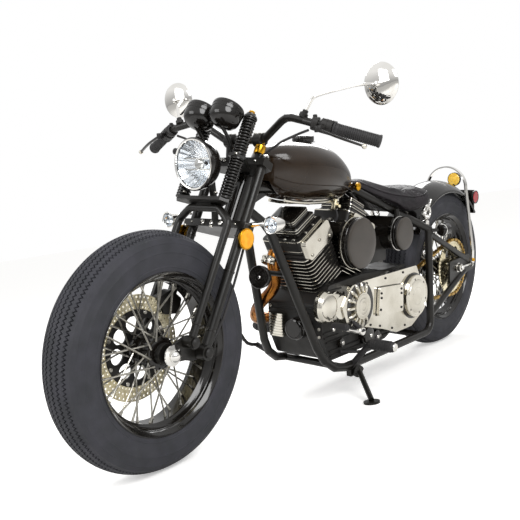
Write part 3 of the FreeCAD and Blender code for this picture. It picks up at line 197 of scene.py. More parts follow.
def build(name, shapes, finishName, slotName, replaced=(), body="frame", sharp=34, merge=0.02):
    # the shapes welded to one piece, its faces turned outwards and its sharp edges marked; then its finish, the
    # body that carries it and the CAD nodes it stands for; the slot name is not used
    shapes = shapes if isinstance(shapes, list) else [shapes]
    starts = np.cumsum([0] + [len(verts) for verts, faces in shapes[:-1]])
    piece = meshFromArrays(name, toRow(np.concatenate([verts for verts, faces in shapes])),
                           np.concatenate([faces + start for (verts, faces), start in zip(shapes, starts)]))
    work = bmesh.new()
    work.from_mesh(piece.data)
    bmesh.ops.remove_doubles(work, verts=work.verts, dist=merge / 1000)
    bmesh.ops.dissolve_degenerate(work, edges=work.edges, dist=merge / 4000)
    bmesh.ops.recalc_face_normals(work, faces=work.faces)
    work.to_mesh(piece.data)
    work.free()
    piece.data.shade_smooth()
    piece.data.set_sharp_from_angle(angle=math.radians(sharp))
    piece.data.materials.append(made[finishName])
    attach(piece, body)
    if replaced:
        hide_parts(*replaced)
    return piece


def colour(code):
    # an sRGB hex colour as Blender's linear numbers
    parts = [int(code[i:i + 2], 16) / 255 for i in (1, 3, 5)]
    return tuple(p / 12.92 if p <= 0.04045 else ((p + 0.055) / 1.055) ** 2.4 for p in parts) + (1,)


def addNode(tree, kind, settings=None, links=None):
    # one node with its settings (its own properties or its sockets' values) and the links into it
    node = tree.nodes.new(kind)
    for key, value in (settings or {}).items():
        if isinstance(key, str) and hasattr(node, key):
            setattr(node, key, value)
        else:
            node.inputs[key].default_value = value
    for socket, source in (links or {}).items():
        tree.links.new(source, node.inputs[socket])
    return node


def finish(name, base, second, toneSize, roughness, grainSize, relief, sockets, smearSize=60):
    # a base colour that drifts to a second tone over a known distance, roughness with smears, and fine relief
    material = bpy.data.materials.new(name)
    material.use_nodes = True
    tree = material.node_tree
    tree.nodes.clear()
    place = addNode(tree, "ShaderNodeTexCoord").outputs["Object"]
    tone, smear, grain = [
        addNode(tree, "ShaderNodeTexNoise", {"Scale": 1000 / size, "Detail": detail}, {"Vector": place}).outputs["Fac"]
        for size, detail in ((toneSize, 4), (smearSize, 3), (grainSize, 2))]
    span = addNode(tree, "ShaderNodeMapRange", {"From Min": 0.35, "From Max": 0.65}, {"Value": tone})
    mixed = addNode(tree, "ShaderNodeMix", {"data_type": "RGBA", 6: colour(base), 7: colour(second)},
                    {"Factor": span.outputs[0]})
    rough = addNode(tree, "ShaderNodeMapRange", {"From Min": 0.3, "From Max": 0.7, "To Min": roughness[0],
                                                 "To Max": roughness[1]}, {"Value": smear})
    bump = addNode(tree, "ShaderNodeBump", {"Strength": 1, "Distance": relief / 1000}, {"Height": grain})
    shader = addNode(tree, "ShaderNodeBsdfPrincipled", {}, {
        "Base Color": mixed.outputs[2], "Roughness": rough.outputs[0], "Normal": bump.outputs[0]})
    for socket, value in sockets.items():
        shader.inputs[socket].default_value = value
    addNode(tree, "ShaderNodeOutputMaterial", {}, {"Surface": shader.outputs[0]})
    return material


metal = {"Metallic": 1}
# base colour, second tone, tone size in mm, span of roughness, grain size and relief in mm, the shader's sockets
finishes = {
    # sprayed and baked, deep; then the tubes' powder coat with a faint orange peel, and painted sand castings
    "glossBlackEnamel": ("#110f0d", "#171411", 160, (0.10, 0.17), 2.5, 0.01,
                         {"Specular IOR Level": 0.35, "Coat Weight": 0.25, "Coat Roughness": 0.05}),
    "blackPowderCoat": ("#12110f", "#1a1815", 90, (0.28, 0.42), 1.2, 0.03,
                        {"Specular IOR Level": 0.3, "Coat Weight": 0.1, "Coat Roughness": 0.15}),
    "castBlackAlloy": ("#131211", "#1d1b19", 40, (0.42, 0.6), 0.9, 0.12, {"Specular IOR Level": 0.35}),
    # buffed castings, plated mirrors, plated fasteners, ground rotors, heated pipes, anodised caps, oiled links
    "polishedAlloy": ("#dcd8cd", "#c6c1b4", 70, (0.10, 0.22), 6, 0.02, metal),
    "brightChrome": ("#eceae6", "#e0ded9", 120, (0.03, 0.08), 30, 0.01, metal),
    "zincSteel": ("#b9b6ae", "#8f8c84", 12, (0.2, 0.36), 1, 0.02, metal),
    "drilledRotorSteel": ("#ded6bb", "#c0b591", 30, (0.24, 0.4), 0.8, 0.015, metal),
    "heatedHeader": ("#b87a34", "#6d3f22", 28, (0.14, 0.3), 5, 0.02, metal),
    "goldAnodised": ("#d8a52e", "#b9851f", 20, (0.2, 0.32), 1.5, 0.01, metal),
    "creamAnodised": ("#ece2c4", "#d9cda9", 40, (0.18, 0.3), 1.5, 0.01, metal),
    "oiledChain": ("#c9a758", "#8a6a34", 9, (0.25, 0.4), 1, 0.02, metal),
    # dusty vulcanised rubber, moulded rubber, worn black hide
    "tyreRubber": ("#2a2b2f", "#333339", 55, (0.62, 0.78), 1.1, 0.06, {"Specular IOR Level": 0.35}),
    "mouldedRubber": ("#171617", "#211f20", 25, (0.55, 0.7), 0.8, 0.05, {}),
    "grainedLeather": ("#1a181a", "#242023", 35, (0.5, 0.66), 2.2, 0.18, {"Specular IOR Level": 0.25}),
    # dark paint under clear lacquer, its bronze-brown tone a painted reflection of a warm room, and brown-grey satin
    # paint on the drum ends
    "tankLacquerPaintedReflection": ("#1f170f", "#2c2117", 140, (0.13, 0.22), 1.5, 0.01,
                         {"Specular IOR Level": 0.3, "Coat Weight": 0.2, "Coat Roughness": 0.1}),
    "umberFaceEnamel": ("#3a342e", "#302b25", 90, (0.3, 0.42), 1.5, 0.015,
                        {"Specular IOR Level": 0.4, "Coat Weight": 0.15, "Coat Roughness": 0.2}),
    # lamps, dials, glass and lenses; the amber lenses glow faintly, a painted glow of light through them, reflectors
    # included
    "lampReflector": ("#eef1f4", "#dfe4ea", 30, (0.03, 0.09), 8, 0.02, metal),
    "mirrorGlass": ("#dfe3e6", "#d3d7da", 200, (0.01, 0.03), 60, 0.003, metal),
    "dialCard": ("#0e0e10", "#151518", 20, (0.45, 0.55), 1, 0.01, {}),
    "dialPrint": ("#e9e8e2", "#dddbd3", 10, (0.5, 0.6), 1, 0.005, {}),
    "clearLampGlass": ("#f7fafc", "#ffffff", 60, (0.01, 0.03), 12, 0.02, {"Transmission Weight": 1, "IOR": 1.45}),
    # faint emission: a painted glow, also on the side reflectors, which are no lamps
    "amberLens": ("#d98c04", "#eaa21a", 12, (0.12, 0.2), 4, 0.12,
                  {"Specular IOR Level": 0.3, "Emission Color": (0.9, 0.4, 0, 1), "Emission Strength": 0.1,
                   "Coat Weight": 0.15}),
    # faint emission: a painted glow in the marker lens, which is not lit
    "paleAmberLens": ("#e6b437", "#f2cd5c", 10, (0.12, 0.2), 4, 0.12,
                      {"Emission Color": (0.9, 0.6, 0.1, 1), "Emission Strength": 0.15}),
    "redReflex": ("#8f1420", "#b01c2b", 10, (0.12, 0.2), 3, 0.12, {"Coat Weight": 0.5}),
}
made = {name: finish(name, *look) for name, look in finishes.items()}
print("finishes made:", len(made))

nodeFinish = {
    "glossBlackEnamel": "frame_backbone fuel_tank rear_fender headlamp gauges front_rim rear_rim oil_tank air_cleaner",
    "blackPowderCoat": "frame_down_tubes frame_bottom_rails frame_uprights frame_upper_rails frame_upper_stays "
                       "frame_lower_stays frame_crossbars fork_rear_legs fork_front_legs fork_springs front_axle "
                       "handlebar tail_bracket horn side_stand front_caliper rear_caliper fuel_cap",
    "castBlackAlloy": "crankcase cylinders cylinder_heads front_hub rear_hub bar_controls",
    "polishedAlloy": "engine_covers rear_sprocket",
    "brightChrome": "fender_hoop rear_indicators front_lamps mirrors exhaust_pipes",
    "zincSteel": "front_spokes rear_spokes rear_axle front_sprocket seat_springs",
    "oiledChain": "drive_chain",
    "mouldedRubber": "grips foot_controls speedometer_cable control_cables",
    "tyreRubber": "front_tyre rear_tyre",
    "grainedLeather": "seat",
    "amberLens": "side_reflectors rear_lamps",
    "mirrorGlass": "headlamp_lens",
}
for finishName, nodeNames in nodeFinish.items():
    for nodeName in nodeNames.split():
        cadMesh = frame["nodes"][nodeName].data
        cadMesh.materials.clear()
        cadMesh.materials.append(made[finishName])
print("CAD nodes finished")

# tyres: a fat carcass with sawtooth grooves round the crown and moulded rings on the walls
tyreShape = {
    "crownRadius": 80.658, "crownFrom": 241.342, "treadHalf": 52, "treadEdge": 47.5, "edgeSwing": 0.4,
    "grooves": (-41, -25, -8.5, 8.5, 25, 41), "grooveHalf": 2.6, "grooveDepth": 5, "teeth": 168, "toothSwing": 3.2,
    "around": 672, "bead": [(206, 46), (206, -46)],
    "wall": [(209, 51), (214, 57.5), (220, 59.2), (226, 60.2), (227, 61.3), (230, 61.5), (231, 60.8), (240, 62),
             (252, 63), (264, 63.4), (265, 64.2), (267, 64.2), (268, 63.4), (278, 62.4), (288, 60.2), (289, 60.8),
             (291, 60.2), (292, 59.2), (299, 56), (302.6, 53.6)]}


def tyreGrid(shape):
    # bead, bulged wall and shoulder as a profile, then crown lines of radius = crownFrom + sqrt(crownRadius^2 -
    # side^2); a groove is four crown lines whose sides swing by a triangle wave of the turn, the middle two sunk
    half, edge, swing = shape["grooveHalf"], shape["treadEdge"], shape["edgeSwing"]
    lines = [(-shape["treadHalf"], 0, 0), (-edge, swing, 0)]
    for place in shape["grooves"]:
        lines += [(place - half, 1, 0), (place - half / 2, 1, 1), (place + half / 2, 1, 1), (place + half, 1, 0)]
    sides, swings, sunk = np.array(lines + [(edge, swing, 0), (shape["treadHalf"], 0, 0)]).T[:, :, None]
    turn = np.linspace(0, math.tau, shape["around"], endpoint=False)
    wave = 2 * np.abs(2 * (turn * shape["teeth"] / math.tau % 1) - 1) - 1
    side = sides + shape["toothSwing"] * swings * wave
    radius = shape["crownFrom"] + np.sqrt(shape["crownRadius"] ** 2 - side ** 2) - shape["grooveDepth"] * sunk
    wall, bead, level = np.array(shape["wall"]), np.array(shape["bead"]), np.ones((1, len(turn)))
    radius = np.concatenate([wall[:, :1] * level, radius, wall[::-1, :1] * level, bead[:, :1] * level])
    side = np.concatenate([-wall[:, 1:] * level, side, wall[::-1, 1:] * level, bead[:, 1:] * level])
    return np.stack([radius * np.cos(turn), side, radius * np.sin(turn)], 2)


wheelPlaces = {"front": np.array([wheelbase, 0, axleHeight]), "rear": np.array([0, 0, axleHeight])}
for wheel, hub in wheelPlaces.items():
    build(wheel + "TreadedTyre", tube(tyreGrid(tyreShape) + hub, False, True), "tyreRubber", "tyre",
          [wheel + "_tyre"], wheel + "_wheel")
print("tyres treaded")

# rims: a drop-centre section with rolled edges and two stepped beads, and a nipple at each spoke
rim = {"inside": [(216.4, 58.5), (217, 60.2), (215.6, 61.2), (213.8, 60.4), (212, 57.5), (206, 51), (204, 49),
                  (203.6, 42), (201.6, 40), (201.2, 34), (198, 31), (190.5, 25.5), (188, 22.5)],
       "outside": [(189.5, 24), (192.5, 26), (200, 36), (208, 50.2), (216.2, 58.3)],
       "nipple": [(0, -3), (4.2, -3), (4.6, 0), (3.4, 2), (3.2, 13), (2.6, 15), (0, 15)]}
# a spoke's foot on the hub and its reach in the rim: radius, side, and the leading spokes' offset
spokeShape = {"count": 20, "foot": (40, 34, 7), "reach": (187, 9, 3), "crossing": 2}


def spokeEnds(shape):
    # both ends of all spokes of a wheel: every second one leads ahead, the rest lead back, by the crossing's steps
    number = np.arange(shape["count"])
    step, lead = math.tau / shape["count"], np.where(number % 2, 1, -1)
    found = []
    for side in (-1, 1):
        foot = step * number + (step / 2 if side > 0 else 0)
        far = foot + lead * step * shape["crossing"]
        found.append([np.stack([radius * np.cos(turn), side * (place + lead * offset), radius * np.sin(turn)], 1)
                      for turn, (radius, place, offset) in ((foot, shape["foot"]), (far, shape["reach"]))])
    return (np.concatenate(ends) for ends in zip(*found))


for wheel, hub in wheelPlaces.items():
    loop = mirrored(rim["inside"]) + rim["outside"][::-1] + [(r, -s) for r, s in rim["outside"]]
    build(wheel + "RolledRim", lathe(loop, hub, steps=144), "glossBlackEnamel", "rim_paint", [wheel + "_rim"],
          wheel + "_wheel")
    starts, ends = spokeEnds(spokeShape)
    build(wheel + "Nipples", copies(turned(rim["nipple"], 8), ends + hub, starts - ends), "zincSteel", "steel",
          body=wheel + "_wheel")
print("rims rolled, nipples set")


def perforatedRing(inner, outer, rows, around, share, halfThick, points):
    # a flat ring cut into rows x around cells, each with a round hole: quads join the cell's border to the hole's
    # edge on both faces and line the hole. A point lies at the cell's middle radius and turn plus its place in the
    # cell; every second row is turned by half a cell. The ring's inner and outer walls close it
    border = np.arange(points) * math.tau / points + math.pi / 4
    unit = np.stack([np.cos(border), np.sin(border)], 1)
    square = unit / np.abs(unit).max(1, keepdims=True) * 0.5
    index = np.arange(points)
    onward = (index + 1) % points
    height = (outer - inner) / rows
    verts, faces, total = [], [], 0
    for row in range(rows):
        middle = inner + (row + 0.5) * height
        width = math.tau * middle / around
        hole = unit * share * min(height, width)
        radius = middle + np.concatenate([square[:, 1] * height, hole[:, 1]])
        lead = np.concatenate([square[:, 0] * width, hole[:, 0]]) / middle
        turn = ((np.arange(around) + 0.5 * (row % 2)) * math.tau / around)[:, None] + lead
        flat = np.stack([radius * np.cos(turn), radius * np.sin(turn)], 2).reshape(-1, 2)
        verts += [np.column_stack([flat, np.full(len(flat), level)]) for level in (-halfThick, halfThick)]
        face = np.stack([index, onward, onward + points, index + points], 1)
        far = len(flat) + points
        lining = np.stack([index + points, onward + points, onward + far, index + far], 1)
        cell = (np.arange(around) * 2 * points)[:, None, None]
        faces += [(part + cell).reshape(-1, 4) + total for part in (face, face[:, ::-1] + len(flat), lining)]
        total += 2 * len(flat)
    for radius, edge, shift in ((inner, -0.5, 0), (outer, 0.5, 0.5 * ((rows - 1) % 2))):
        corner = np.unique(np.round(square[np.isclose(square[:, 1], edge), 0], 6))[:-1]
        turns = ((np.arange(around)[:, None] + shift + corner) * math.tau / around).ravel()
        ring = np.stack([radius * np.cos(turns), radius * np.sin(turns)], 1)
        verts += [np.column_stack([ring, np.full(len(ring), level)]) for level in (-halfThick, halfThick)]
        faces.append(gridFaces(2, len(ring), closeColumns=True) + total)
        total += 2 * len(ring)
    return np.concatenate(verts), np.concatenate(faces)


# brake rotors: a drilled ring on a black spider with windows, on the hub's right
rotorShape = {
    "side": -62, "spiderBore": 30, "front": {"outer": 146, "inner": 104, "windows": 8, "holes": 60},
    "rear": {"outer": 118, "inner": 84, "windows": 7, "holes": 48},
    "hub": mirrored([(9.4, 46), (20, 46.2), (24, 45), (26.5, 39), (41, 38.2), (44, 37), (44, 31.6), (41.5, 30.6),
                     (29, 29.4), (26.6, 26), (25.4, 8)]),
    "boss": [(15.2, -47), (33.6, -47), (34, -48), (34, -64), (31, -66), (15.2, -66)],
    "button": mirrored([(0, 4.4), (5.4, 4.4), (6.4, 3.4)])}
for wheel, hub in wheelPlaces.items():
    shape, onWheel = rotorShape[wheel], partial(build, body=wheel + "_wheel")
    place = hub + rotorShape["side"] * left
    ring = perforatedRing(shape["inner"], shape["outer"], rows=3, around=shape["holes"], share=0.27, halfThick=2.2,
                          points=8)
    onWheel(wheel + "DrilledRotor", copies(ring, place), "drilledRotorSteel", "steel", merge=0.1)
    spider = perforatedRing(rotorShape["spiderBore"], shape["inner"] + 2, rows=1, around=shape["windows"],
                            share=0.4, halfThick=2.6, points=24)
    onWheel(wheel + "RotorSpider", copies(spider, place), "castBlackAlloy", "steel", [wheel + "_hub"], merge=0.1)
    onWheel(wheel + "CastHub", lathe(rotorShape["hub"], hub), "glossBlackEnamel", "steel")
    onWheel(wheel + "RotorBoss", lathe(rotorShape["boss"], hub, steps=48), "castBlackAlloy", "steel")
    places = circle(shape["windows"], shape["inner"] - 5, place, math.pi / shape["windows"])
    onWheel(wheel + "RotorButtons", copies(turned(rotorShape["button"], 12), places), "zincSteel", "steel")
print("hubs and rotors made")

# V-twin engine: barrels, heads, trims and cover details, each square to its own cylinder
engine = {"crank": (785, 290), "angles": {"front": 28, "rear": -24}, "finHeights": 118 + 13.4 * (np.arange(10) + 0.5),
          "valleyTurn": math.radians(26), "valleyGap": 3.3}


def onCylinder(points, degrees):
    # (ahead, side, height above the crank) of a cylinder turned forward by degrees, in upright millimetres
    turn = math.radians(degrees)
    along, side, height = np.moveaxis(np.asarray(points, float), -1, 0)
    return np.stack([engine["crank"][0] + math.sin(turn) * height + math.cos(turn) * along, side,
                     engine["crank"][1] + math.cos(turn) * height - math.sin(turn) * along], -1)


def roundedOutline(halfLength, halfWidth, corner):
    # four quarter circles of the corner's radius, joined by the straight sides between them
    each = 8
    turn = (np.linspace(0, math.pi / 2, each) + np.arange(4)[:, None] * math.pi / 2).ravel()
    signs = np.repeat([(1, 1), (-1, 1), (-1, -1), (1, -1)], each, axis=0)
    return signs * [halfLength - corner, halfWidth - corner] + corner * np.stack([np.cos(turn), np.sin(turn)], 1)


def stack(inner, outer, rows, degrees, ring=False, valley=False):
    # rows of (share, height): at each height the outline lies that share of the way from the inner to the outer
    # one; with valley it keeps the gap to the other cylinder's fins
    share, height = np.asarray(rows, float).T
    flat = inner + share[:, None, None] * (outer - inner)
    if valley:
        sign, slope = math.copysign(1, degrees), math.tan(engine["valleyTurn"])
        flat[..., 0] = sign * np.maximum(sign * flat[..., 0], engine["valleyGap"] - height[:, None] * slope)
    grid = np.concatenate([flat, np.broadcast_to(height[:, None, None], flat.shape[:2] + (1,))], 2)
    return tube(onCylinder(grid, degrees), capped=not ring, closeRows=ring)


def edging(outline, height, thick, degrees, valley=False):
    # a thin bright band round an outline at a height, half a millimetre proud of it
    rows = [(0, height - thick), (1, height - thick), (1, height + thick), (0, height + thick)]
    return stack(outline * 0.985, outline + 0.5 * np.sign(outline), rows, degrees, True, valley)


def bolts(name, places, scale, finishName="zincSteel", axes=left, **options):
    # a piece of socket-headed bolts, their heads up along the axes
    build(name, copies(boltShape, places, axes, scale), finishName, "steel", **options)


boltShape = turned([(0, -1), (6, -1), (6, 2.6), (5.2, 3.6), (3.2, 3.8), (2.8, 2.2), (0, 2.2)], 12)
outlines = {name: roundedOutline(*sizes) for name, sizes in {
    "core": (57, 57, 20), "fin": (78, 86, 24), "headInner": (70, 72, 12), "head": (74, 76, 16),
    "rockerInner": (50, 58, 9), "rocker": (56, 64, 12), "lidInner": (40, 48, 9), "lid": (46, 54, 12)}.items()}
finRow = mirrored([(0, 3), (0.9, 1.7), (1, 1)])
barrelRows = [(0, 100)] + [(share, height + step) for height in engine["finHeights"] for share, step in finRow]
headRows = [(0, 252), (1, 253.5), (1, 262), (0, 263.5), (0, 266.5), (1, 268), (1, 276), (0, 277.5), (0, 280.5),
            (1, 282), (1, 327.5), (0.7, 330.2), (-0.6, 330.4)]
rockerRows = [(1, 328), (1, 341.5), (0.75, 342.5), (0.4, 342.7), (0.4, 345.3), (0.75, 345.5), (1, 346.5),
              (1, 357.5), (0.5, 361), (-0.5, 362), (-3, 362)]
headEdges = [("head", 254.6, 1.6), ("head", 291, 0.9), ("head", 327, 1.7), ("rocker", 348, 0.9),
             ("rocker", 357, 1.1)]
headBolts = [(a, s, 361.6) for a in (-36, 0, 36) for s in (-44, 44)]
headBolts += [(a, s, 330) for a in (-22, 22) for s in (-69, 69)]
headBolts += [(a, s, 330) for a in (-64, 64) for s in (-50, -16, 16, 50)]
cylinderUp = {cylinder: onCylinder((0, 0, 1), degrees) - onCylinder((0, 0, 0), degrees)
              for cylinder, degrees in engine["angles"].items()}
for cylinder, degrees in engine["angles"].items():
    barrel = stack(outlines["core"], outlines["fin"], barrelRows + [(0, 252.2)], degrees, valley=True)
    build(cylinder + "FinnedBarrel", barrel, "castBlackAlloy", "engine_paint", ["cylinders"])
    edges = [edging(outlines["fin"], height, 0.9, degrees, True) for height in engine["finHeights"]]
    build(cylinder + "FinEdges", edges, "polishedAlloy", "bright_alloy")
    head = stack(outlines["headInner"], outlines["head"], headRows, degrees)
    build(cylinder + "Head", head, "castBlackAlloy", "engine_paint", ["cylinder_heads"])
    box = stack(outlines["rockerInner"], outlines["rocker"], rockerRows, degrees)
    build(cylinder + "RockerBox", box, "glossBlackEnamel", "engine_paint")
    edges = [edging(outlines[outline], height, thick, degrees) for outline, height, thick in headEdges]
    build(cylinder + "HeadEdges", edges, "polishedAlloy", "bright_alloy")
    bolts(cylinder + "HeadBolts", onCylinder(headBolts, degrees), 1, axes=cylinderUp[cylinder])
    bolts(cylinder + "CoverBolts", onCylinder([(-54, 94, 270), (0, 94, 290), (54, 94, 270)], degrees), 0.9)
print("barrels and heads made")

# bright left cover: fan ribs over the generator drive, a black strip of painted shade along the panel's groove and a
# bolted clutch ring inside a black ring of painted shadow; the panel's corners and the bolts are (x, z) places
leftCover = {
    "fan": (761, 0, 310), "clutch": (410, 0, 282), "generator": (930, 0, 334), "ribs": 11, "ribSpan": 236,
    "ribLength": np.array([40, 48, 62, 74, 80]), "ribHalf": np.array([3, 5.2, 6, 5.4, 2.4]),
    "ribLow": np.array([137, 137, 137, 136, 135]), "ribHigh": np.array([146, 149, 148, 144, 137]),
    "panel": [(654, 353), (499, 340), (501, 243), (666, 257), (654, 353)], "panelSide": 138.4,
    "panelBolts": [(646, 332), (652, 276), (512, 326), (514, 260), (646, 316), (512, 310)],
    "rimBolts": [(720, 378), (600, 376), (480, 378), (350, 300), (372, 206), (470, 184), (560, 192), (640, 216),
                 (700, 232)]}


def sideways(flat, side):
    # (x, z) places set at one distance to the left
    return [(x, side, z) for x, z in flat]


def fanRib(turn):
    # one tapered rib from the fan's rim out over the cover's shoulder: a five-row bar, wide at the middle
    along, half, low, high = [leftCover[key] for key in ("ribLength", "ribHalf", "ribLow", "ribHigh")]
    outward, across = np.array([math.cos(turn), 0, math.sin(turn)]), np.array([-math.sin(turn), 0, math.cos(turn)])
    middle = (low + high) / 2
    section = [(-1, low), (-1, middle), (-0.55, high), (0.55, high), (1, middle), (1, low)]
    return tube(np.stack([leftCover["fan"] + along[:, None] * outward + share * half[:, None] * across
                          + level[:, None] * left for share, level in section], 1))


span = math.radians(leftCover["ribSpan"])
ribTurns = np.linspace(-span / 2, span / 2, leftCover["ribs"])
build("fanRibs", [fanRib(turn) for turn in ribTurns], "polishedAlloy", "bright_alloy", sharp=50)
fanGround = lathe([(38, 136), (38, 139.6), (78, 139.2), (80, 136)], leftCover["fan"], steps=72)
build("fanGround", fanGround, "glossBlackEnamel", "engine_paint")
fanCap = lathe([(0, 150.5), (12, 151.6), (14, 151), (15, 151.6), (26, 151.4), (27, 150.8), (28, 151.4), (40, 151),
                (43.5, 149), (44.5, 146), (44.5, 137), (0, 137)], leftCover["fan"], steps=72)
build("fanCap", fanCap, "polishedAlloy", "bright_alloy")
clutchCap = lathe([(0, 157.6), (30, 158), (31, 157.2), (33, 157.2), (34, 158), (56, 157.8), (60, 156.8),
                   (62, 154.2), (66, 154.2), (68, 156.6), (75, 156.4), (77, 154), (77, 140), (0, 140)],
                  leftCover["clutch"], steps=96)
build("clutchCap", clutchCap, "polishedAlloy", "bright_alloy")
# a black ring round the clutch cap: painted shadow of the step and groove round it
clutchShadowRing = lathe([(77, 138.2), (77, 141), (83, 141), (84, 138.2)], leftCover["clutch"], steps=96)
build("clutchShadowRing", clutchShadowRing, "glossBlackEnamel", "engine_paint")
# the cover bolts are black all over: painted shade standing for their dark socket holes
places = [*circle(6, 64, leftCover["clutch"] + 154 * left, 0.3), *sideways(leftCover["panelBolts"], 150),
          *sideways(leftCover["rimBolts"], 138)]
bolts("coverBolts", places, 0.72, "blackPowderCoat")
panel = sideways(leftCover["panel"], leftCover["panelSide"])
# a thin black tube along the panel's edge: painted shade where the groove round the panel lies in shadow
groove = [sweep(np.linspace(start, end, 3), 1.6, 6) for start, end in zip(panel, panel[1:])]
build("panelShadowStrip", groove, "glossBlackEnamel", "engine_paint")
dome = [(0, 140), (20, 139), (34, 136), (42, 134), (44, 132), (44, 128), (0, 128)]
build("generatorDome", lathe(dome, leftCover["generator"]), "polishedAlloy", "bright_alloy")
bolts("generatorBolts", circle(5, 47, leftCover["generator"] + 127 * left, 0.4), 0.8)
print("left cover dressed")

# drums: air cleaner and oil tank, with rolled edges, bright seams and brown-grey ends
drums = {"airCleaner": {"centre": (740, 0, 515), "radius": 85, "low": 96, "high": 140, "slot": "engine_paint"},
         "oilTank": {"centre": (449, 0, 513), "radius": 60, "low": -128, "high": 134, "slot": "bright_alloy",
                     "replaced": ["oil_tank"]}}
for drum, shape in drums.items():
    r, low, high = shape["radius"], shape["low"], shape["high"]
    shell = [(0, low), (r - 8, low), (r - 2, low + 2), (r, low + 8), (r, high - 17), (r - 1.2, high - 15.8),
             (r - 1.2, high - 13.4), (r, high - 12.4), (r, high - 9), (r - 1, high - 7), (r - 8, high - 5),
             (0, high - 5)]
    face = [(0, high + 0.6), (r * 0.4, high + 0.5), (r * 0.7, high + 0.2), (r - 8, high - 0.4), (r - 4, high - 1.2),
            (r - 1.4, high - 3.2), (r - 0.6, high - 6), (r - 3, high - 6.4), (0, high - 6.4)]
    band = [(r + 0.2, low + 9), (r + 1.6, low + 9.6), (r + 1.6, low + 12.4), (r + 0.2, low + 13)]
    build(drum + "Shell", lathe(shell, shape["centre"], steps=96), "glossBlackEnamel", shape["slot"],
          shape.get("replaced", ()))
    build(drum + "Face", lathe(face, shape["centre"], steps=96), "umberFaceEnamel", "bright_alloy")
    build(drum + "Band", lathe(band, shape["centre"], steps=96), "polishedAlloy", "bright_alloy")
strap = [(60.2, 96), (61.8, 96.6), (61.8, 107.4), (60.2, 108)]
build("oilTankStrap", lathe(strap, drums["oilTank"]["centre"], steps=96), "brightChrome", "chrome")
lugs = [sweep([(449, s * 100, 560), (449, s * 98, 580), (449, s * 96, 600)], 9, 16) for s in (-1, 1)]
build("oilTankLugs", lugs, "blackPowderCoat", "frame_paint")
cap = [(0, 28), (13, 28), (16, 25), (16, 14), (20, 12), (20, 0), (0, 0)]
build("oilFillerCap", lathe(cap, (470, -60, 570), (0.25, -0.1, 1), 32), "brightChrome", "chrome")
print("drums made")

# headers and mufflers: heat-coloured pipes with bright clamps, on the right
exhaust = {"side": -184, "low": 250, "high": 338, "pipe": 19,
           "muffler": [(0, 0), (20.5, 0), (21.5, 8), (30, 40), (38, 70), (38, 74), (39, 76), (39, 80), (38, 82),
                       (38, 566), (36, 584), (31, 592), (25, 593), (24, 588), (24, 536), (0, 536)],
           "clamp": mirrored([(19.2, 12), (22, 11), (23.5, 7), (22, 3.5)])}
side, low, high = exhaust["side"], exhaust["low"], exhaust["high"]
frontPort = onCylinder((70, -34, 286), engine["angles"]["front"])
rearPort = onCylinder((10, -72, 292), engine["angles"]["rear"])
frontPipe = [frontPort, frontPort + [31, 0, -16], (968, -40, 402), (982, -74, 362), (968, -134, 318),
             (930, side, 262), (880, side, 249), (600, side, low), (425, side, low)]
rearPipe = [rearPort, rearPort + [-2, -60, -4], rearPort + [-6, -104, -16], (646, side, 428), (596, side, 352),
            (540, side, high), (435, side, high)]
pipes = [sweep(smoothPath(frontPipe, 90), exhaust["pipe"], 24, (0.02, 0.05, 1)),
         sweep(smoothPath(rearPipe, 70), exhaust["pipe"], 24, (0.3, 0.05, 1))]
build("headerPipes", pipes, "heatedHeader", "chrome", ["exhaust_pipes"])
mufflers = [lathe(np.array(exhaust["muffler"]) * [1, stretch], (x, side, z), heading, 48) for stretch, x, z, heading in
            ((1, 420, low, (-610, -2, 14)), (620 / 610.2, 430, high, (-620, -2, 16)))]
build("mufflers", mufflers, "brightChrome", "chrome")
clamps = [(frontPort + [40, 0, -24], (0.5, 0, -0.85)), ((560, side, low), ahead), ((520, side, high), ahead)]
build("pipeClamps", [lathe(exhaust["clamp"], place, heading, 40) for place, heading in clamps], "polishedAlloy",
      "bright_alloy")
print("exhaust made")


def roundLoft(rows, fullness, columns):
    # rows of (x, low, high, half): a superellipse |y/half|^n + |z/height|^n = 1 at each place along X
    x, low, high, half = (np.asarray(rows, float).T)[:, :, None]
    turn = np.linspace(0, math.tau, columns, endpoint=False)
    side, rise = (np.sign(f(turn)) * np.abs(f(turn)) ** (2 / fullness) for f in (np.cos, np.sin))
    return np.stack([x + 0 * turn, half * side, (low + high) / 2 + (high - low) / 2 * rise], 2)


def roundedEnds(rows, depth):
    # four more rows at each end, drawn in on a quarter ellipse that stands depth proud
    rows = np.asarray(rows, float)
    turn, ends = np.radians([80, 60, 38, 18]), []
    for row, sign in ((rows[0], -1), (rows[-1], 1)):
        middle, share = (row[1] + row[2]) / 2, np.cos(turn)
        ends.append(np.column_stack([row[0] + sign * depth * np.sin(turn), middle + (row[1] - middle) * share,
                                     middle + (row[2] - middle) * share, row[3] * share]))
    return np.concatenate([ends[0], rows, ends[1][::-1]])


# tank: a smooth loft of rounded sections (share of the reach, low, high, half width) with a tunnel for the top tube
tank = {"rear": 646, "reach": 440.1, "fullness": 2.6, "tunnelHalf": 23, "tunnelEase": 3.5, "tunnelSlope": 0.07,
        "tunnelFrom": (650, 710.5), "seamRows": slice(14, 98, 2), "seamColumns": (188, 112), "capShare": 0.502,
        "capHeight": 850, "capRing": [(29, 0), (37.5, 0), (38.5, 2.2), (36, 4), (29, 4)],
        "sections": [(0, 706, 723, 22.4), (0.0455, 684, 743, 47), (0.145, 664, 782, 73.9), (0.327, 660, 826, 99.7),
                     (0.532, 664, 849, 112), (0.714, 672, 853, 108.6), (0.873, 690, 847, 85.1),
                     (0.964, 722, 831, 51.5), (1, 756, 803, 22.4)],
        "cap": [(12, -6), (27, -6), (29, 2), (34, 3), (35, 5), (35, 16), (33.5, 19), (29, 21), (27.5, 20.4),
                (24, 21.6), (0.01, 22)], "knurls": 24}
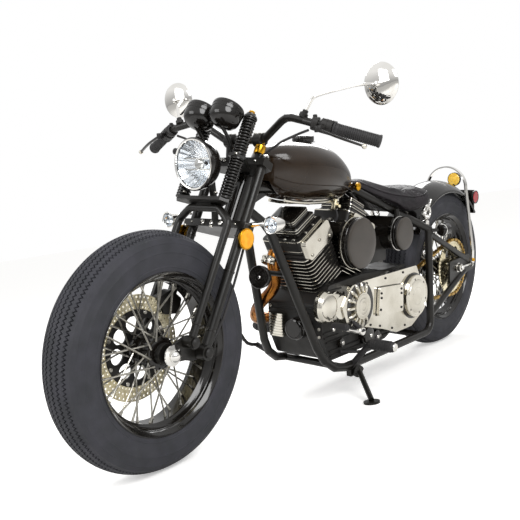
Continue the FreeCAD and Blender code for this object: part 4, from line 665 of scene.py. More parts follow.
tankRows = throughStations(np.array(tank["sections"]) * [tank["reach"], 1, 1, 1] + [tank["rear"], 0, 0, 0], 110)
tankGrid = roundLoft(roundedEnds(tankRows, 5), tank["fullness"], 200)
tunnelX, tunnelZ = tank["tunnelFrom"]
tunnelTop = tunnelZ + (tankGrid[..., 0] - tunnelX) * tank["tunnelSlope"]
inTunnel = np.clip((tank["tunnelHalf"] + tank["tunnelEase"] - np.abs(tankGrid[..., 1])) / tank["tunnelEase"], 0, 1)
tankGrid[..., 2] += inTunnel * np.maximum(tunnelTop - tankGrid[..., 2], 0)
# the shell and its seams wear the dark lacquer whose brown tone is a painted reflection
build("fuelTankShell", tube(tankGrid), "tankLacquerPaintedReflection", "tank_paint", ["fuel_tank"], sharp=60)
seamRows = roundLoft(tankRows[tank["seamRows"]], tank["fullness"], 200)
seams = [sweep(seamRows[:, column], 1.7, 8, (0.1, 0.3, 1)) for column in tank["seamColumns"]]
build("tankSeam", seams, "tankLacquerPaintedReflection", "tank_paint")
capPlace = np.array([tank["rear"] + tank["reach"] * tank["capShare"], 0, tank["capHeight"]])
knurlTurn = np.linspace(0, math.tau, 6 * tank["knurls"], endpoint=False)
capRadius, capHeight = np.array(tank["cap"]).T[:, :, None]
# only the cap's widest rings are knurled: 2 % narrower where the wave is high
knurled = capRadius * (1 - 0.02 * (np.cos(tank["knurls"] * knurlTurn) > 0.2) * (capRadius == capRadius.max()))
capGrid = capPlace + np.stack([knurled * np.cos(knurlTurn), knurled * np.sin(knurlTurn), capHeight + 0 * knurled], 2)
build("fillerCap", tube(capGrid), "glossBlackEnamel", "chrome", ["fuel_cap"])
build("fillerCapRing", lathe(tank["capRing"], capPlace - 1.5 * top, top), "blackPowderCoat", "chrome")
# bright carrier bars between the tank and the heads, with the fuel tap
carrier = [(690, 28, 668), (760, 44, 655), (838, 52, 656), (930, 46, 660), (1010, 30, 676)]
bars = [sweep(smoothPath(np.array(carrier) * [1, s, 1], 30), 5.5, 12) for s in (-1, 1)]
bars += [sweep([(x, -46, z), (x, 0, z + 2), (x, 46, z)], 5, 12, ahead) for x, z in ((744, 655), (905, 658))]
build("tankCarrierBars", bars, "polishedAlloy", "bright_alloy")
tap = [lathe([(0, -22), (8, -22), (9, -20), (9, -6), (13, -4), (13, 4), (7, 6), (7, 14), (0, 14)], (776, 56, 650),
             (0.05, 0.3, 1), 24),
       lathe([(0, 0), (6, 0), (7, 3), (7, 14), (5, 17), (0, 17)], (776, 58, 640), (0, 1, -0.1), 20)]
build("fuelTap", tap, "creamAnodised", "bright_alloy")
hose = smoothPath([(776, 55, 630), (774, 66, 606), (782, 60, 588), (792, 44, 580)], 24)
build("fuelHose", sweep(hose, 4.2), "mouldedRubber", "bright_alloy")
print("tank made")

fenderShape = {"radius": 350, "half": 84, "drop": 42, "wall": 3, "from": 32, "to": 139, "boltTurns": (44, 128),
               "rows": 90}


def fenderGrid(shape):
    # a crowned section, high in its middle by the drop, with beaded edges, turned round the rear axle
    half, drop = shape["half"], shape["drop"]
    bow = (half ** 2 + drop ** 2) / (2 * drop)
    side = np.linspace(-half, half, 33)
    outer = np.column_stack([side, shape["radius"] - bow + np.sqrt(bow ** 2 - side ** 2)])
    inner = outer[::-1] * [1 - 1.5 / half, 1] - [0, shape["wall"]]
    edge = shape["radius"] - drop
    bead = [(half, edge - 3), (half - 2.2, edge - 6.5), (half - 4.2, edge - 5)]
    side, radius = np.concatenate([outer, bead, inner, [(-s, r) for s, r in bead[::-1]]]).T
    turn = np.radians(np.linspace(shape["from"], shape["to"], shape["rows"]))[:, None]
    return np.stack([radius * np.cos(turn), side + 0 * turn, axleHeight + radius * np.sin(turn)], 2)


build("rearFenderShell", tube(fenderGrid(fenderShape)), "glossBlackEnamel", "tank_paint", ["rear_fender"], sharp=60)
headings = np.array([(math.cos(t), 0, math.sin(t)) for t in np.radians(fenderShape["boltTurns"]) for s in (-1, 1)])
places = wheelPlaces["rear"] + (fenderShape["radius"] + 0.5) * headings + [[0, s, -2.6] for s in (-26, 26, -26, 26)]
bolts("fenderBolts", places, 1.1, axes=headings)
bolts("hoopBolts", [(-130, s * 122, 336) for s in (-1, 1)], 1.2, "goldAnodised", [(0, s, 0) for s in (-1, 1)])
print("fender made")


def ribbedFace(radii, level, slope, proud):
    # a lens face in rings: level - slope*radius, every second ring proud of the others
    return [(r, level - slope * r + (proud if k % 2 else 0)) for k, r in enumerate(radii)]


# rear lamps: a ribbed amber marker in a black bezel, a red reflector, and turn lamps with chrome rings
rearLamps = {"marker": (-205.2, 0, 665), "red": (-300, 45, 582), "turn": (187, 152, 500)}
markerLens = [(0, 11)] + ribbedFace(np.arange(2, 26, 2), 10.4, 0.06, 0.9) + [(26, 8), (26, 0), (0, 0)]
build("markerLens", lathe(markerLens, rearLamps["marker"], ahead), "paleAmberLens", "amber", ["rear_lamps"])
markerBack = [(0, -14), (14, -14), (25, -6), (28.5, -3), (29, 7), (28, 9), (26.2, 8), (26.2, -1), (0, -1)]
build("markerBack", lathe(markerBack, rearLamps["marker"], ahead), "blackPowderCoat", "frame_paint")
stalk = sweep([(-176, 0, 618), (-196, 0, 636), (-212, 0, 652)], 7, 16)
build("markerStalk", stalk, "blackPowderCoat", "frame_paint")
redLens = [(0, 9.4)] + ribbedFace(np.arange(2.5, 24, 2.5), 9.2, 0, 0.5) + [(25, 7.5), (25, 1), (0, 1)]
build("redReflector", lathe(redLens, rearLamps["red"]), "redReflex", "amber")
redRim = [(25, 0.2), (28.4, 0.6), (28.4, 8.4), (26.6, 9.6), (25, 8.4)]
build("redReflectorRim", lathe(redRim, rearLamps["red"]), "blackPowderCoat", "frame_paint")
rearTurn, turnRings, turnGlass = [], [], []
for s in (-1, 1):
    at = np.array(rearLamps["turn"]) * [1, s, 1]
    rearTurn.append(lathe([(0, -30), (12, -29.4), (18, -27), (21.4, -22), (22.6, -14), (23, 8), (24, 9), (24, 13.4),
                           (22.8, 14.4), (21, 13.6), (20.4, 8), (12, 2), (0, 0)], at, -ahead, 48))
    turnRings.append(lathe([(20.6, -25.4), (22.6, -25.6), (23.6, -23.6), (23.4, -21.4), (22, -20)], at, -ahead, 48))
    rearTurn.append(sweep([(243, s * 116, 500), (220, s * 132, 500), (196, s * 148, 500)], [8, 6.5, 7], 16))
    turnGlass.append(lathe([(0, 15.6), (12, 15), (20.6, 12.6), (20.6, 10.4), (12, 12.8), (0, 13.4)], at, -ahead, 48))
build("rearTurnLamps", rearTurn, "glossBlackEnamel", "chrome", ["rear_indicators"])
build("rearTurnRings", turnRings, "brightChrome", "chrome")
build("rearTurnLenses", turnGlass, "amberLens", "amber")
print("rear lamps made")

# roller chain: pins a pitch apart along the loop round both sprockets, with plates and rollers between them
drive = {"side": 88, "rear": (0, axleHeight, 112), "front": (410, 282, 44), "links": 82, "plateHalf": 5.6,
         "offsets": (4.4, 7), "roller": mirrored([(0, 7.9), (2.2, 7.9), (2.2, 3.9), (4.6, 3.4)])}


def chainLoop(shape, count):
    # points at even steps along the open loop: a tangent, the front arc, a tangent, the rear arc
    (rx, rz, rr), (fx, fz, fr) = shape["rear"], shape["front"]
    slope = math.atan2(fz - rz, fx - rx)
    wrap = math.acos((rr - fr) / math.hypot(fx - rx, fz - rz))
    front = np.linspace(slope + wrap, slope - wrap, 200)
    rear = np.linspace(slope - wrap, slope + wrap - math.tau, 400)
    loop = np.concatenate([np.column_stack([fx + fr * np.cos(front), fz + fr * np.sin(front)]),
                           np.column_stack([rx + rr * np.cos(rear), rz + rr * np.sin(rear)])])
    loop = np.concatenate([loop, loop[:1]])
    along = np.concatenate([[0], np.cumsum(np.linalg.norm(np.diff(loop, axis=0), axis=1))])
    place = np.linspace(0, along[-1], count, endpoint=False)
    return np.column_stack([np.interp(place, along, loop[:, k]) for k in (0, 1)])


def linkPlate(pitchLength, half, thick):
    # a figure-of-eight plate: half width = half*(0.78 + 0.22*cos(2*pi*place)) from pin to pin, with round ends
    place = np.linspace(0, 1, 7)
    waist = np.stack([(place - 0.5) * pitchLength, half * (0.78 + 0.22 * np.cos(math.tau * place))], 1)
    bend = np.radians([120, 150, 180, 210, 240])
    end = np.stack([-pitchLength / 2 + half * np.cos(bend), half * np.sin(bend)], 1)
    outline = np.concatenate([waist[::-1], end, waist * [1, -1], -end])
    return tube(np.stack([np.column_stack([outline, np.full(len(outline), level)]) for level in (-thick, thick)]))


def toothedPlate(teeth, outer, inner, halfThick, valley):
    # a flat ring with a tooth wave, read at 8 steps a tooth: radius = outer - valley*(1 - |cos(teeth*turn/2)|^0.7)
    turn = np.arange(teeth * 8) * math.tau / (teeth * 8)
    wave = outer - valley * (1 - np.abs(np.cos(teeth * turn / 2)) ** 0.7)
    rows = [(inner + 0 * turn, -1), (wave - 3, -1), (wave, -0.4), (wave, 0.4), (wave - 3, 1), (inner + 0 * turn, 1)]
    return tube(np.stack([np.stack([r * np.cos(turn), r * np.sin(turn), np.full(len(turn), share * halfThick)], 1)
                          for r, share in rows]), False, True)


pins = chainLoop(drive, drive["links"])
onward = np.roll(pins, -1, axis=0)
pitch = np.linalg.norm(onward - pins, axis=1)
# a link lies along the loop; copies() counts turns from a side that stands off X by the second term
turns = -np.arctan2(*(onward - pins).T[::-1]) - math.atan2(offAxis[0], offAxis[2])
plate, plates = linkPlate(pitch.mean(), drive["plateHalf"], 0.8), []
for start, offset in enumerate(drive["offsets"]):
    for s in (-1, 1):
        middles = sideways(((pins + onward) / 2)[start::2], drive["side"] + s * offset)
        plates.append(copies(plate, middles, turns=turns[start::2]))
plates.append(copies(turned(drive["roller"], 8), sideways(pins, drive["side"])))
build("rollerChain", plates, "oiledChain", "steel", ["drive_chain"], sharp=40, merge=0.005)
sprocketAt = wheelPlaces["rear"] + drive["side"] * left
rearSprocket = [copies(toothedPlate(teeth=44, outer=114, inner=96, halfThick=3, valley=6.5), sprocketAt),
                copies(perforatedRing(38, 97, rows=1, around=6, share=0.33, halfThick=3, points=24), sprocketAt),
                lathe([(21, 46), (39, 46), (39, 84), (42, 86), (42, 91), (36, 93), (21, 93)], wheelPlaces["rear"])]
build("rearSprocketPlate", rearSprocket, "creamAnodised", "steel", ["rear_sprocket"], "rear_wheel")
bolts("sprocketBolts", circle(8, 48, wheelPlaces["rear"] + 91 * left, math.pi / 8), 0.9, body="rear_wheel")
teeth = toothedPlate(teeth=17, outer=45, inner=16, halfThick=3, valley=6)
frontSprocket = [copies(teeth, leftCover["clutch"] + drive["side"] * left),
                 lathe([(0, 68.2), (14, 68.2), (16, 84), (22, 84), (22, 92), (14, 96), (14, 98), (0, 98)],
                       leftCover["clutch"], steps=40)]
build("frontSprocketWheel", frontSprocket, "zincSteel", "steel", ["front_sprocket"])
# axle ends: nuts, washers and adjuster screws on the frame's plates
axleEnds = []
for s in (-1, 1):
    axleEnds += [lathe([(0, 116.2), (19, 116.2), (19, 119), (16, 119.4), (16, 131), (13, 133), (9, 133.4), (9, 138),
                        (7.6, 140), (0, 140)], wheelPlaces["rear"], s * left, 32),
                 sweep([(x, s * 121.5, axleHeight) for x in (-6, -60, -104)], 4.2),
                 lathe(mirrored([(4, 5), (9, 5)]), (-92, s * 121.5, axleHeight), ahead, 6),
                 lathe([(0, 0), (13, 0), (13, 6), (0, 6)], (-106, s * 121, axleHeight), ahead, 24)]
build("axleAdjusters", axleEnds, "brightChrome", "steel")
print("chain and sprockets made")

# spring fork: a place is (along the steering axis, ahead of it, to the left)
fork = {"foot": np.array([1580, 0, 0]), "rake": math.radians(29), "lowerTree": 690, "upperTree": 884, "legAhead": 44,
        "legSide": 95, "springAhead": 132, "springSide": 82, "springRuns": ((736.3, 856.7), (867.3, 984.6)),
        "coilRadius": 16.8, "wire": 3, "pitch": 9.2}
rakeUp = np.array([-math.sin(fork["rake"]), 0, math.cos(fork["rake"])])
rakeAhead = np.array([math.cos(fork["rake"]), 0, math.sin(fork["rake"])])
onFork = partial(build, body="steering")
forkBolts = partial(bolts, body="steering")


def forkPoint(along, ahead, side=0):
    # foot + up-axis*along + ahead-axis*ahead + left*side, in upright millimetres
    along, ahead, side = (np.asarray(value, float)[..., None] for value in (along, ahead, side))
    return fork["foot"] + rakeUp * along + rakeAhead * ahead + left * side


def springPath(low, high, side):
    # a helix whose ends close up: radius constant, height eased at both ends, turns = length / pitch
    turns = (high - low) / fork["pitch"]
    share = np.linspace(0, 1, int(turns * 28))
    height = low + fork["wire"] + (high - low - 2 * fork["wire"]) * (share - 0.012 * np.sin(math.tau * share))
    turn = math.tau * turns * share
    return forkPoint(height, fork["springAhead"] + fork["coilRadius"] * np.cos(turn),
                     side + fork["coilRadius"] * np.sin(turn))


coils, guides, caps, domes = [], [], [], []
for side in (-fork["springSide"], fork["springSide"]):
    for low, high in fork["springRuns"]:
        coils.append(sweep(springPath(low, high, side), fork["wire"], 8, rakeUp))
        run = high - low
        guide = [(0, 0), (19.5, 0), (19.5, 4), (12, 5), (12, run - 5), (19.5, run - 4), (19.5, run), (0, run)]
        guides.append(lathe(guide, forkPoint(low, fork["springAhead"], side), rakeUp, 24))
    caps.append(lathe([(0, 0), (20.5, 0), (20.5, 4), (17, 10), (14, 12), (14, 15), (0, 15)],
                      forkPoint(980, fork["springAhead"], side), rakeUp, 32))
    domes.append(lathe([(0, 0), (9.8, 0), (9.8, 6), (8, 10), (4, 12.4), (0, 13)],
                       forkPoint(994, fork["springAhead"], side), rakeUp, 6))
onFork("forkSprings", coils, "glossBlackEnamel", "chrome", ["fork_springs"], sharp=60)
onFork("springGuides", guides, "blackPowderCoat", "chrome")
onFork("springCaps", caps, "glossBlackEnamel", "chrome")
onFork("springDomes", domes, "goldAnodised", "chrome")
pinch = [(690, 8, 92), (690, 64, 82), (884, 64, 84), (884, 66, 30), (862, 152, 92), (700, 104, 60), (746, 150, 60),
         (660, 118, 50)]
forkBolts("forkBolts", [forkPoint(a, h, s * sign) for a, h, s in pinch for sign in (-1, 1)], 0.9, axes=rakeUp)
treeBolts = [("lowerTree", -34), ("lowerTree", 0), ("lowerTree", 34), ("upperTree", -34), ("upperTree", 34)]
forkBolts("treeBolts", [forkPoint(fork[tree], 70, s) for tree, s in treeBolts], 1.25, "brightChrome", rakeAhead)
topNuts = [lathe([(0, 0), (12, 0), (13.6, 2), (13.6, 6), (9, 10), (0, 11)], forkPoint(904, fork["legAhead"], s),
                 rakeUp, 24) for s in (-fork["legSide"], fork["legSide"])]
topNuts.append(lathe([(0, 0), (17, 0), (17, 8), (11, 12), (0, 13)], forkPoint(896, 0), rakeUp, 6))
onFork("forkTopNuts", topNuts, "brightChrome", "chrome")
barrel = lathe([(0, -4), (15, -4), (16, -2), (16, 20), (13, 24), (6, 25), (5, 22), (0, 22)], forkPoint(925, 36, 62),
               rakeUp, 32)
key = lathe([(0, 0), (9, 0), (9, 9), (0, 10)], forkPoint(948, 36, 62), rakeUp, 20)
onFork("lockBarrel", [barrel, key], "goldAnodised", "chrome")
print("fork dressed")

# rockers and axle end: chrome collar, pivot bolts, bands round the legs
collar = [(0, -1), (26, -1), (28, 1), (28, 5), (21, 7), (17, 8), (17, 13), (15, 14), (12, 20), (6, 24), (0, 25)]
collars = [lathe(collar, wheelPlaces["front"] + s * 78.8 * left, s * left, 48) for s in (-1, 1)]
onFork("axleCollars", collars, "brightChrome", "chrome")
pivots = [lathe([(0, 0), (13, 0), (14, 1), (14, 5), (10, 9), (5, 11), (0, 11.4)], forkPoint(a, h, s * 111), s * left,
                24) for a, h in ((330, 44), (340, 104.5)) for s in (-1, 1)]
onFork("rockerPivots", pivots, "castBlackAlloy", "chrome")
legBands = [(390, 44, 14), (560, 44, 14), (390, 104.5, 11), (660, 44, 14)]
bands = [lathe(mirrored([(r, 3), (r + 1.6, 2.4)]), forkPoint(a, h, s), rakeUp, 32)
         for s in (-fork["legSide"], fork["legSide"]) for a, h, r in legBands]
onFork("legBands", bands, "glossBlackEnamel", "frame_paint")
print("axle ends made")

# headlamp: spun bowl, bright bezel, fluted reflector with a bulb shield, domed clear glass
lamp = {"flutes": 26, "fluteDepth": 1.8, "wall": 2.2, "radii": np.array([6, 14, 24, 34, 44, 54, 63.6])[:, None]}
lampAt = forkPoint(804, 207.9) - 8 * ahead
bowl = [(0, -66), (8, -66), (22, -64.5), (40, -58), (56, -46), (66, -31), (71, -14), (72.5, -4), (73.2, 0),
        (73.2, 5), (71, 8), (68, 8.6), (66, 7), (65.4, 2), (65, -6), (62, -20), (52, -38), (38, -50), (0, -55)]
onFork("headlampBowl", lathe(bowl, lampAt, ahead, 96), "glossBlackEnamel", "chrome", ["headlamp"])
foot = forkPoint(694, 58)
stalk = smoothPath([foot, foot + [-4, 0, 40], lampAt + [-63, 0, -52], lampAt + [-61, 0, -2]], 24)
onFork("headlampStalk", sweep(stalk, 10, 16), "blackPowderCoat", "frame_paint")
bezel = [(64.2, 6.5), (65.2, 9.4), (67.4, 10.4), (69.4, 9.4), (70, 7.4), (68, 6)]
onFork("headlampBezel", lathe(bezel, lampAt, ahead, 96), "brightChrome", "chrome")
# the reflector is a bowl of depth 48*(radius/64)^2 with flutes of |sin|, and a wall behind it
turn, radius = np.linspace(0, math.tau, lamp["flutes"] * 8, endpoint=False), lamp["radii"]
depth = 48 * (radius / 64) ** 2 + lamp["fluteDepth"] * np.abs(np.sin(lamp["flutes"] / 2 * turn)) * radius / 64
reflector = lampAt + np.stack([depth - 46, radius * np.cos(turn), radius * np.sin(turn)], 2)
onFork("headlampReflector", tube(np.concatenate([reflector, reflector[::-1] - lamp["wall"] * ahead]), False, True),
       "lampReflector", "chrome")
shield = [lathe([(0, -8), (13, -8), (15, -5), (15, 2), (12, 6), (0, 8)], lampAt + [-18, 0, 0], ahead, 32)]
shield += [sweep(lampAt + [(-14, -60, z), (-12, 0, z), (-14, 60, z)], 2.6, 8) for z in (-15, 15)]
onFork("bulbShield", shield, "brightChrome", "chrome")
glass = [(0, 14), (20, 13.4), (40, 11.6), (54, 9), (64, 4.6), (64, 2.4), (54, 6.6), (40, 9.2), (20, 11), (0, 11.6)]
onFork("headlampGlass", lathe(glass, lampAt, ahead, 96), "clearLampGlass", "lens", ["headlamp_lens"])
knob = lathe([(0, 0), (7, 0), (9, 3), (9, 12), (6, 15), (0, 15)], lampAt + [-10, -72, 34], (0.3, -1, 0.25), 24)
onFork("lampKnob", knob, "mouldedRubber", "chrome")
print("headlamp made")

# twin gauges: black cups with a groove, dial, ticks and needle under a chrome ring
dials = {"place": (960.4, 193.9, 49), "axis": np.array([-0.62, 0, 0.78]) / math.hypot(0.62, 0.78), "ticks": 31,
         "needle": math.radians(-128),
         "cup": [(0, -37), (9, -37), (16, -35.4), (28, -31), (38, -24.4), (43, -18), (45, -11), (45.6, 0), (44.4, 1),
                 (44.4, 2.8), (45.8, 3.8), (46.4, 11), (45, 12), (45, 14.4), (46.4, 15.4), (46.4, 22), (45, 25),
                 (42.6, 25.6), (41.4, 24.4), (41.2, 21), (0, 20.6)],
         "ring": [(40.6, 22.6), (41.4, 25.2), (43.4, 26.2), (44.4, 24.8), (43.8, 23.4)],
         "card": [(0, 20.4), (41, 20.4), (41, 21.2), (0, 21.4)],
         "glass": [(0, 25.4), (20, 25.2), (41, 24.2), (41, 23.4), (20, 24.4), (0, 24.6)]}
axis = dials["axis"]
dialUp = np.cross(axis, left)


def onDial(turn):
    # the direction across the dial at a turn from its foot
    return left * math.sin(turn) - dialUp * math.cos(turn)


cups, rings, cards, marks, glasses, stalks = [], [], [], [], [], []
for s in (-1, 1):
    along, forward, side = dials["place"]
    at = forkPoint(along, forward, s * side)
    for pieces, part, steps in ((cups, "cup", 72), (rings, "ring", 72), (cards, "card", 64), (glasses, "glass", 48)):
        pieces.append(lathe(dials[part], at, axis, steps))
    for number, turn in enumerate(np.radians(np.linspace(-135, 135, dials["ticks"]))):
        inner, thick = (34.5, 0.45) if number % 5 else (31, 0.8)
        reach = np.array([[inner], [(inner + 38) / 2], [38]])
        marks.append(sweep(at + axis * 21.6 + onDial(turn) * reach, thick, 4, axis))
    needle = at + axis * 22.4 + onDial(dials["needle"]) * np.array([[-8], [10], [30]])
    marks += [sweep(needle, [1.2, 1.2, 0.5], 6, axis), lathe([(0, 21), (4.5, 21), (4.5, 23.4), (0, 24)], at, axis, 20)]
    root = forkPoint(862, 108, s * 50)
    stalk = smoothPath([root, root + (at - root) * 0.5 + [0, 0, -4], at - axis * 34], 16)
    stalks.append(sweep(stalk, 5))
onFork("gaugeCups", cups, "glossBlackEnamel", "chrome", ["gauges"])
onFork("gaugeRings", rings, "brightChrome", "chrome")
onFork("gaugeCards", cards, "dialCard", "chrome")
onFork("gaugeMarks", marks, "dialPrint", "chrome", merge=0.005)
onFork("gaugeGlasses", glasses, "clearLampGlass", "lens")
onFork("gaugeStalks", stalks, "blackPowderCoat", "frame_paint")
print("gauges made")

# front turn lamps and side reflectors
turnShell = [(0, -44), (6, -43.4), (12, -40), (18, -28), (22, -12), (23, -2), (23.4, 8), (24.4, 9), (24.4, 12.6),
             (23, 13.8), (21.2, 13), (20.6, 9), (20.4, -2), (12, -8), (0, -10)]
turnCup = [(0, -9), (12, -7), (18, -1), (20.6, 7.4), (20, 7.6), (17, 0), (11, -5.6), (5, -7), (4.6, 3), (3, 5),
           (0, 5.4)]
turnLens = [(0, 15.4), (10, 15), (18, 13), (21.4, 10.4), (21.4, 8.6), (17, 11.4), (10, 13), (0, 13.4)]
shells, reflectors, lenses, prisms, backs = [], [], [], [], []
prism = [(0, 10.4)] + ribbedFace(np.arange(2.4, 26, 2.4), 10.2, 0.02, 0.5) + [(26.4, 8.6), (26.8, 2), (0, 2)]
prismBack = [(0, 0.2), (29.6, 0.2), (30, 1), (30, 6.6), (28.6, 8.4), (27, 7.8), (26.8, 1.6), (0, 1.6)]
for s in (-1, 1):
    at, root = forkPoint(703.6, 42.5, s * 199), forkPoint(698, 40, s * 112)
    arm = smoothPath([root, root + (at - root) * 0.5 + [0, 0, 5], at + [-14, -s * 16, 0]], 14)
    shells += [lathe(turnShell, at, ahead, 56), sweep(arm, [7.5] * 4 + [6] * 6 + [7.5] * 4, 16)]
    reflectors.append(lathe(turnCup, at, ahead, 24))
    lenses.append(lathe(turnLens, at, ahead, 48))
    at = forkPoint(657, fork["legAhead"], s * 116.2)
    prisms.append(lathe(prism, at, s * left, 72))
    backs.append(lathe(prismBack, at, s * left, 72))
onFork("frontTurnLamps", shells, "brightChrome", "chrome", ["front_lamps"])
onFork("frontTurnReflectors", reflectors, "lampReflector", "chrome")
onFork("frontTurnLenses", lenses, "clearLampGlass", "lens")
onFork("sideReflectorLenses", prisms, "amberLens", "amber", ["side_reflectors"])
onFork("sideReflectorBacks", backs, "goldAnodised", "amber")
print("front lamps made")


def onBar(name, shapes, finishName, slotName, replaced=()):
    # the left side's shapes and their mirror images, on the steering
    onFork(name, [bothSides(shape) for shape in shapes], finishName, slotName, replaced)


# bars: ribbed grips, split housings, blade levers with ball ends, and mirrors; a place is over the upper tree
bar = {"clamp": (78.4, 41.8, 70), "crest": (124.8, 88.1, 170), "bend": (99.4, 94.6, 262), "end": (85.4, 2.3, 430),
       "knee": (170.4, 108.8, 262), "elbow": (248.2, 28.4, 340), "mirror": (257.7, 5.1, 389)}
barAt = {name: forkPoint(fork["upperTree"] + rise, forward, side) for name, (rise, forward, side) in bar.items()}
end = barAt["end"]
inward = (barAt["bend"] - end) / np.linalg.norm(barAt["bend"] - end)
grip = [(0, -6.4), (15, -6.2), (17.6, -5), (18.2, -3), (17, -1.4)]
for start in np.arange(0, 110, 5.5):
    grip += [(16.7, start), (16.7, start + 2.6), (15.6, start + 3.4), (15.6, start + 4.7)]
grip += [(16.7, 110), (17, 118), (20.4, 120), (20.4, 124.6), (11.5, 125), (11.5, 0), (0, 0)]
onBar("ribbedGrips", [lathe(grip, end, inward, 40)], "mouldedRubber", "rubber", ["grips"])
housing = [(11.3, 127), (19, 127), (20.4, 128.4), (20.4, 142), (19.6, 142.6), (19.6, 143.4), (20.4, 144),
           (20.4, 158), (18, 161), (11.3, 161)]
reach = end + inward * 145
pivot, tip = reach + [36, 0, -6], end + inward * 8 + [62, 4, -14]
lever = [pivot + (tip - pivot) * share + bow * ahead for share, bow in ((0, 0), (0.2, 7), (0.5, 11), (0.85, 3), (1, 0))]
leverRadius = np.interp(np.linspace(0, 1, 40), [0, 0.08, 0.3, 0.9, 1], [8.5, 7, 6.2, 5.2, 4.6])
onBar("barLevers", [sweep(smoothPath(lever, 40), leverRadius, 14, top, squash=0.62)], "glossBlackEnamel", "chrome",
      ["bar_controls"])
ball = lathe([(0, -7), (4, -5.8), (6.4, -3), (7, 0), (6.4, 3), (4, 5.8), (0, 7)], tip, tip - pivot, 20)
onBar("leverBalls", [ball], "polishedAlloy", "chrome")
switch = end + inward * 176
controls = [lathe(housing, end, inward, 36), sweep([reach + [15, 0, 0], (reach + pivot) / 2, pivot], [10, 8.5, 9], 16),
            lathe(mirrored([(0, 8.6), (10, 8.6), (11, 7)]), pivot, top, 24),
            lathe(mirrored([(11.2, 9), (18, 9), (19.4, 7)]), switch, inward, 32),
            lathe([(0, 0), (6, 0), (6, 5), (4, 7), (0, 7)], switch + [0, 0, 17], top, 16)]
onBar("barHousings", controls, "castBlackAlloy", "chrome")
clamp = lathe(mirrored([(11.2, 15), (19, 15), (20.5, 13)]), barAt["clamp"] - 14 * left, steps=32)
onBar("riserClamps", [clamp], "blackPowderCoat", "frame_paint")
clampTops = [barAt["clamp"] + [dx, dy - 14, 18.6] for dx in (-9, 9) for dy in (-9, 9)]
onBar("riserBolts", [copies(boltShape, clampTops, top, 0.75)], "zincSteel", "steel")
mirrorAt = barAt["mirror"]
mirrorAxis = np.array([-1, 0.12, 0.05])
mirrorAxis /= np.linalg.norm(mirrorAxis)
mirrorFoot = mirrorAt + [16, 0, 0]
shell = [(0, -1.5), (20, -0.6), (38, 2.4), (50, 7.4), (56, 12.6), (57.4, 16), (56.6, 18), (54.4, 18.4), (53.4, 17),
         (0, 16.6)]
onBar("mirrorShells", [lathe(shell, mirrorFoot, mirrorAxis, 72)], "brightChrome", "chrome", ["mirrors"])
glass = lathe([(0, 18.2), (53, 17.4), (53.2, 16.8), (0, 16.8)], mirrorFoot, mirrorAxis)
onBar("mirrorGlasses", [glass], "mirrorGlass", "chrome")
stemStart = barAt["crest"] + (barAt["bend"] - barAt["crest"]) * 0.717 + [0, 0, 10]
knee, elbow = barAt["knee"], barAt["elbow"]
stem = smoothPath([stemStart, stemStart + (knee - stemStart) * 0.8, knee, knee + (elbow - knee) * 0.5, elbow,
                   mirrorAt + [13, -17, 0], mirrorAt + [14, -6, 0]], 60)
joint = lathe([(0, -9), (6, -7), (8.6, 0), (6, 7), (0, 9)], mirrorFoot - mirrorAxis * 3, mirrorAxis, 20)
onBar("mirrorStems", [sweep(stem, 4.4, 14), joint], "brightChrome", "chrome")
stemFoot = [(0, -2), (11, -2), (12, 0), (12, 9), (8, 12), (8, 18), (5, 20), (0, 20)]
onBar("mirrorFeet", [lathe(stemFoot, stemStart, knee - stemStart, 24)], "castBlackAlloy", "chrome")
print("bars made")

# sprung saddle: a padded hide cover that swells over its pan, then buttons, creases and a welt on it; a row is
# (distance behind the nose, low, high, half width) over the saddle's slope, a button (distance, side)
seatShape = {"rows": [(14, -2, 22, 16), (50, 1, 49, 42), (105, -12, 64, 62), (180, -12, 74, 104), (260, 6, 92, 142),
                      (330, 36, 122, 152), (388, 77, 155, 136), (412, 110, 154, 96)],
             "noseX": 650, "noseZ": 690, "slope": 0.4552, "inset": 5, "panLift": 20, "panHalf": 104, "panReach": 1.5,
             "voxel": 0.005, "pressure": 4, "frames": 20, "cap": 0.012,
             "buttons": [(212, -52), (212, 0), (212, 52), (262, -84), (262, -28), (262, 28), (262, 84), (314, -108),
                         (314, -54), (314, 0), (314, 54), (314, 108)],
             "buttonForm": [(0, -2), (6, -2), (7.4, -0.6), (7.2, 1.2), (5.2, 2.6), (2.6, 3.3), (0, 3.5)]}


def alongSlope(shape, x):
    # the height of the saddle's slope at a place along X
    return shape["noseZ"] + (x - shape["noseX"]) * shape["slope"]


def seatGrid(shape):
    # the saddle's sections, drawn in by the inset; its underside is lifted to the pan's plane between the rails
    rows = []
    for back, low, high, half in shape["rows"]:
        x, inset = shape["noseX"] - back, shape["inset"]
        z = alongSlope(shape, x)
        rows.append((x, z + low + inset, z + high - inset, half - inset))
    grid = roundLoft(roundedEnds(throughStations(rows, 70), 6), 3, 120)
    pan = alongSlope(shape, grid[..., 0]) + shape["panLift"]
    within = np.clip((shape["panHalf"] + 3 - np.abs(grid[..., 1])) / 3, 0, 1)
    grid[..., 2] += within * np.maximum(pan - grid[..., 2], 0)
    return grid


def applied(piece):
    # the piece's mesh with its modifiers worked in
    graph = bpy.context.evaluated_depsgraph_get()
    mesh = bpy.data.meshes.new_from_object(piece.evaluated_get(graph), depsgraph=graph)
    piece.modifiers.clear()
    piece.data = mesh


def readPoints(mesh, what="co"):
    found = np.empty(len(mesh.vertices) * 3, np.float32)
    mesh.vertices.foreach_get(what, found)
    return found.reshape(-1, 3).astype(float)


def writePoints(mesh, points):
    mesh.vertices.foreach_set("co", points.astype(np.float32).ravel())


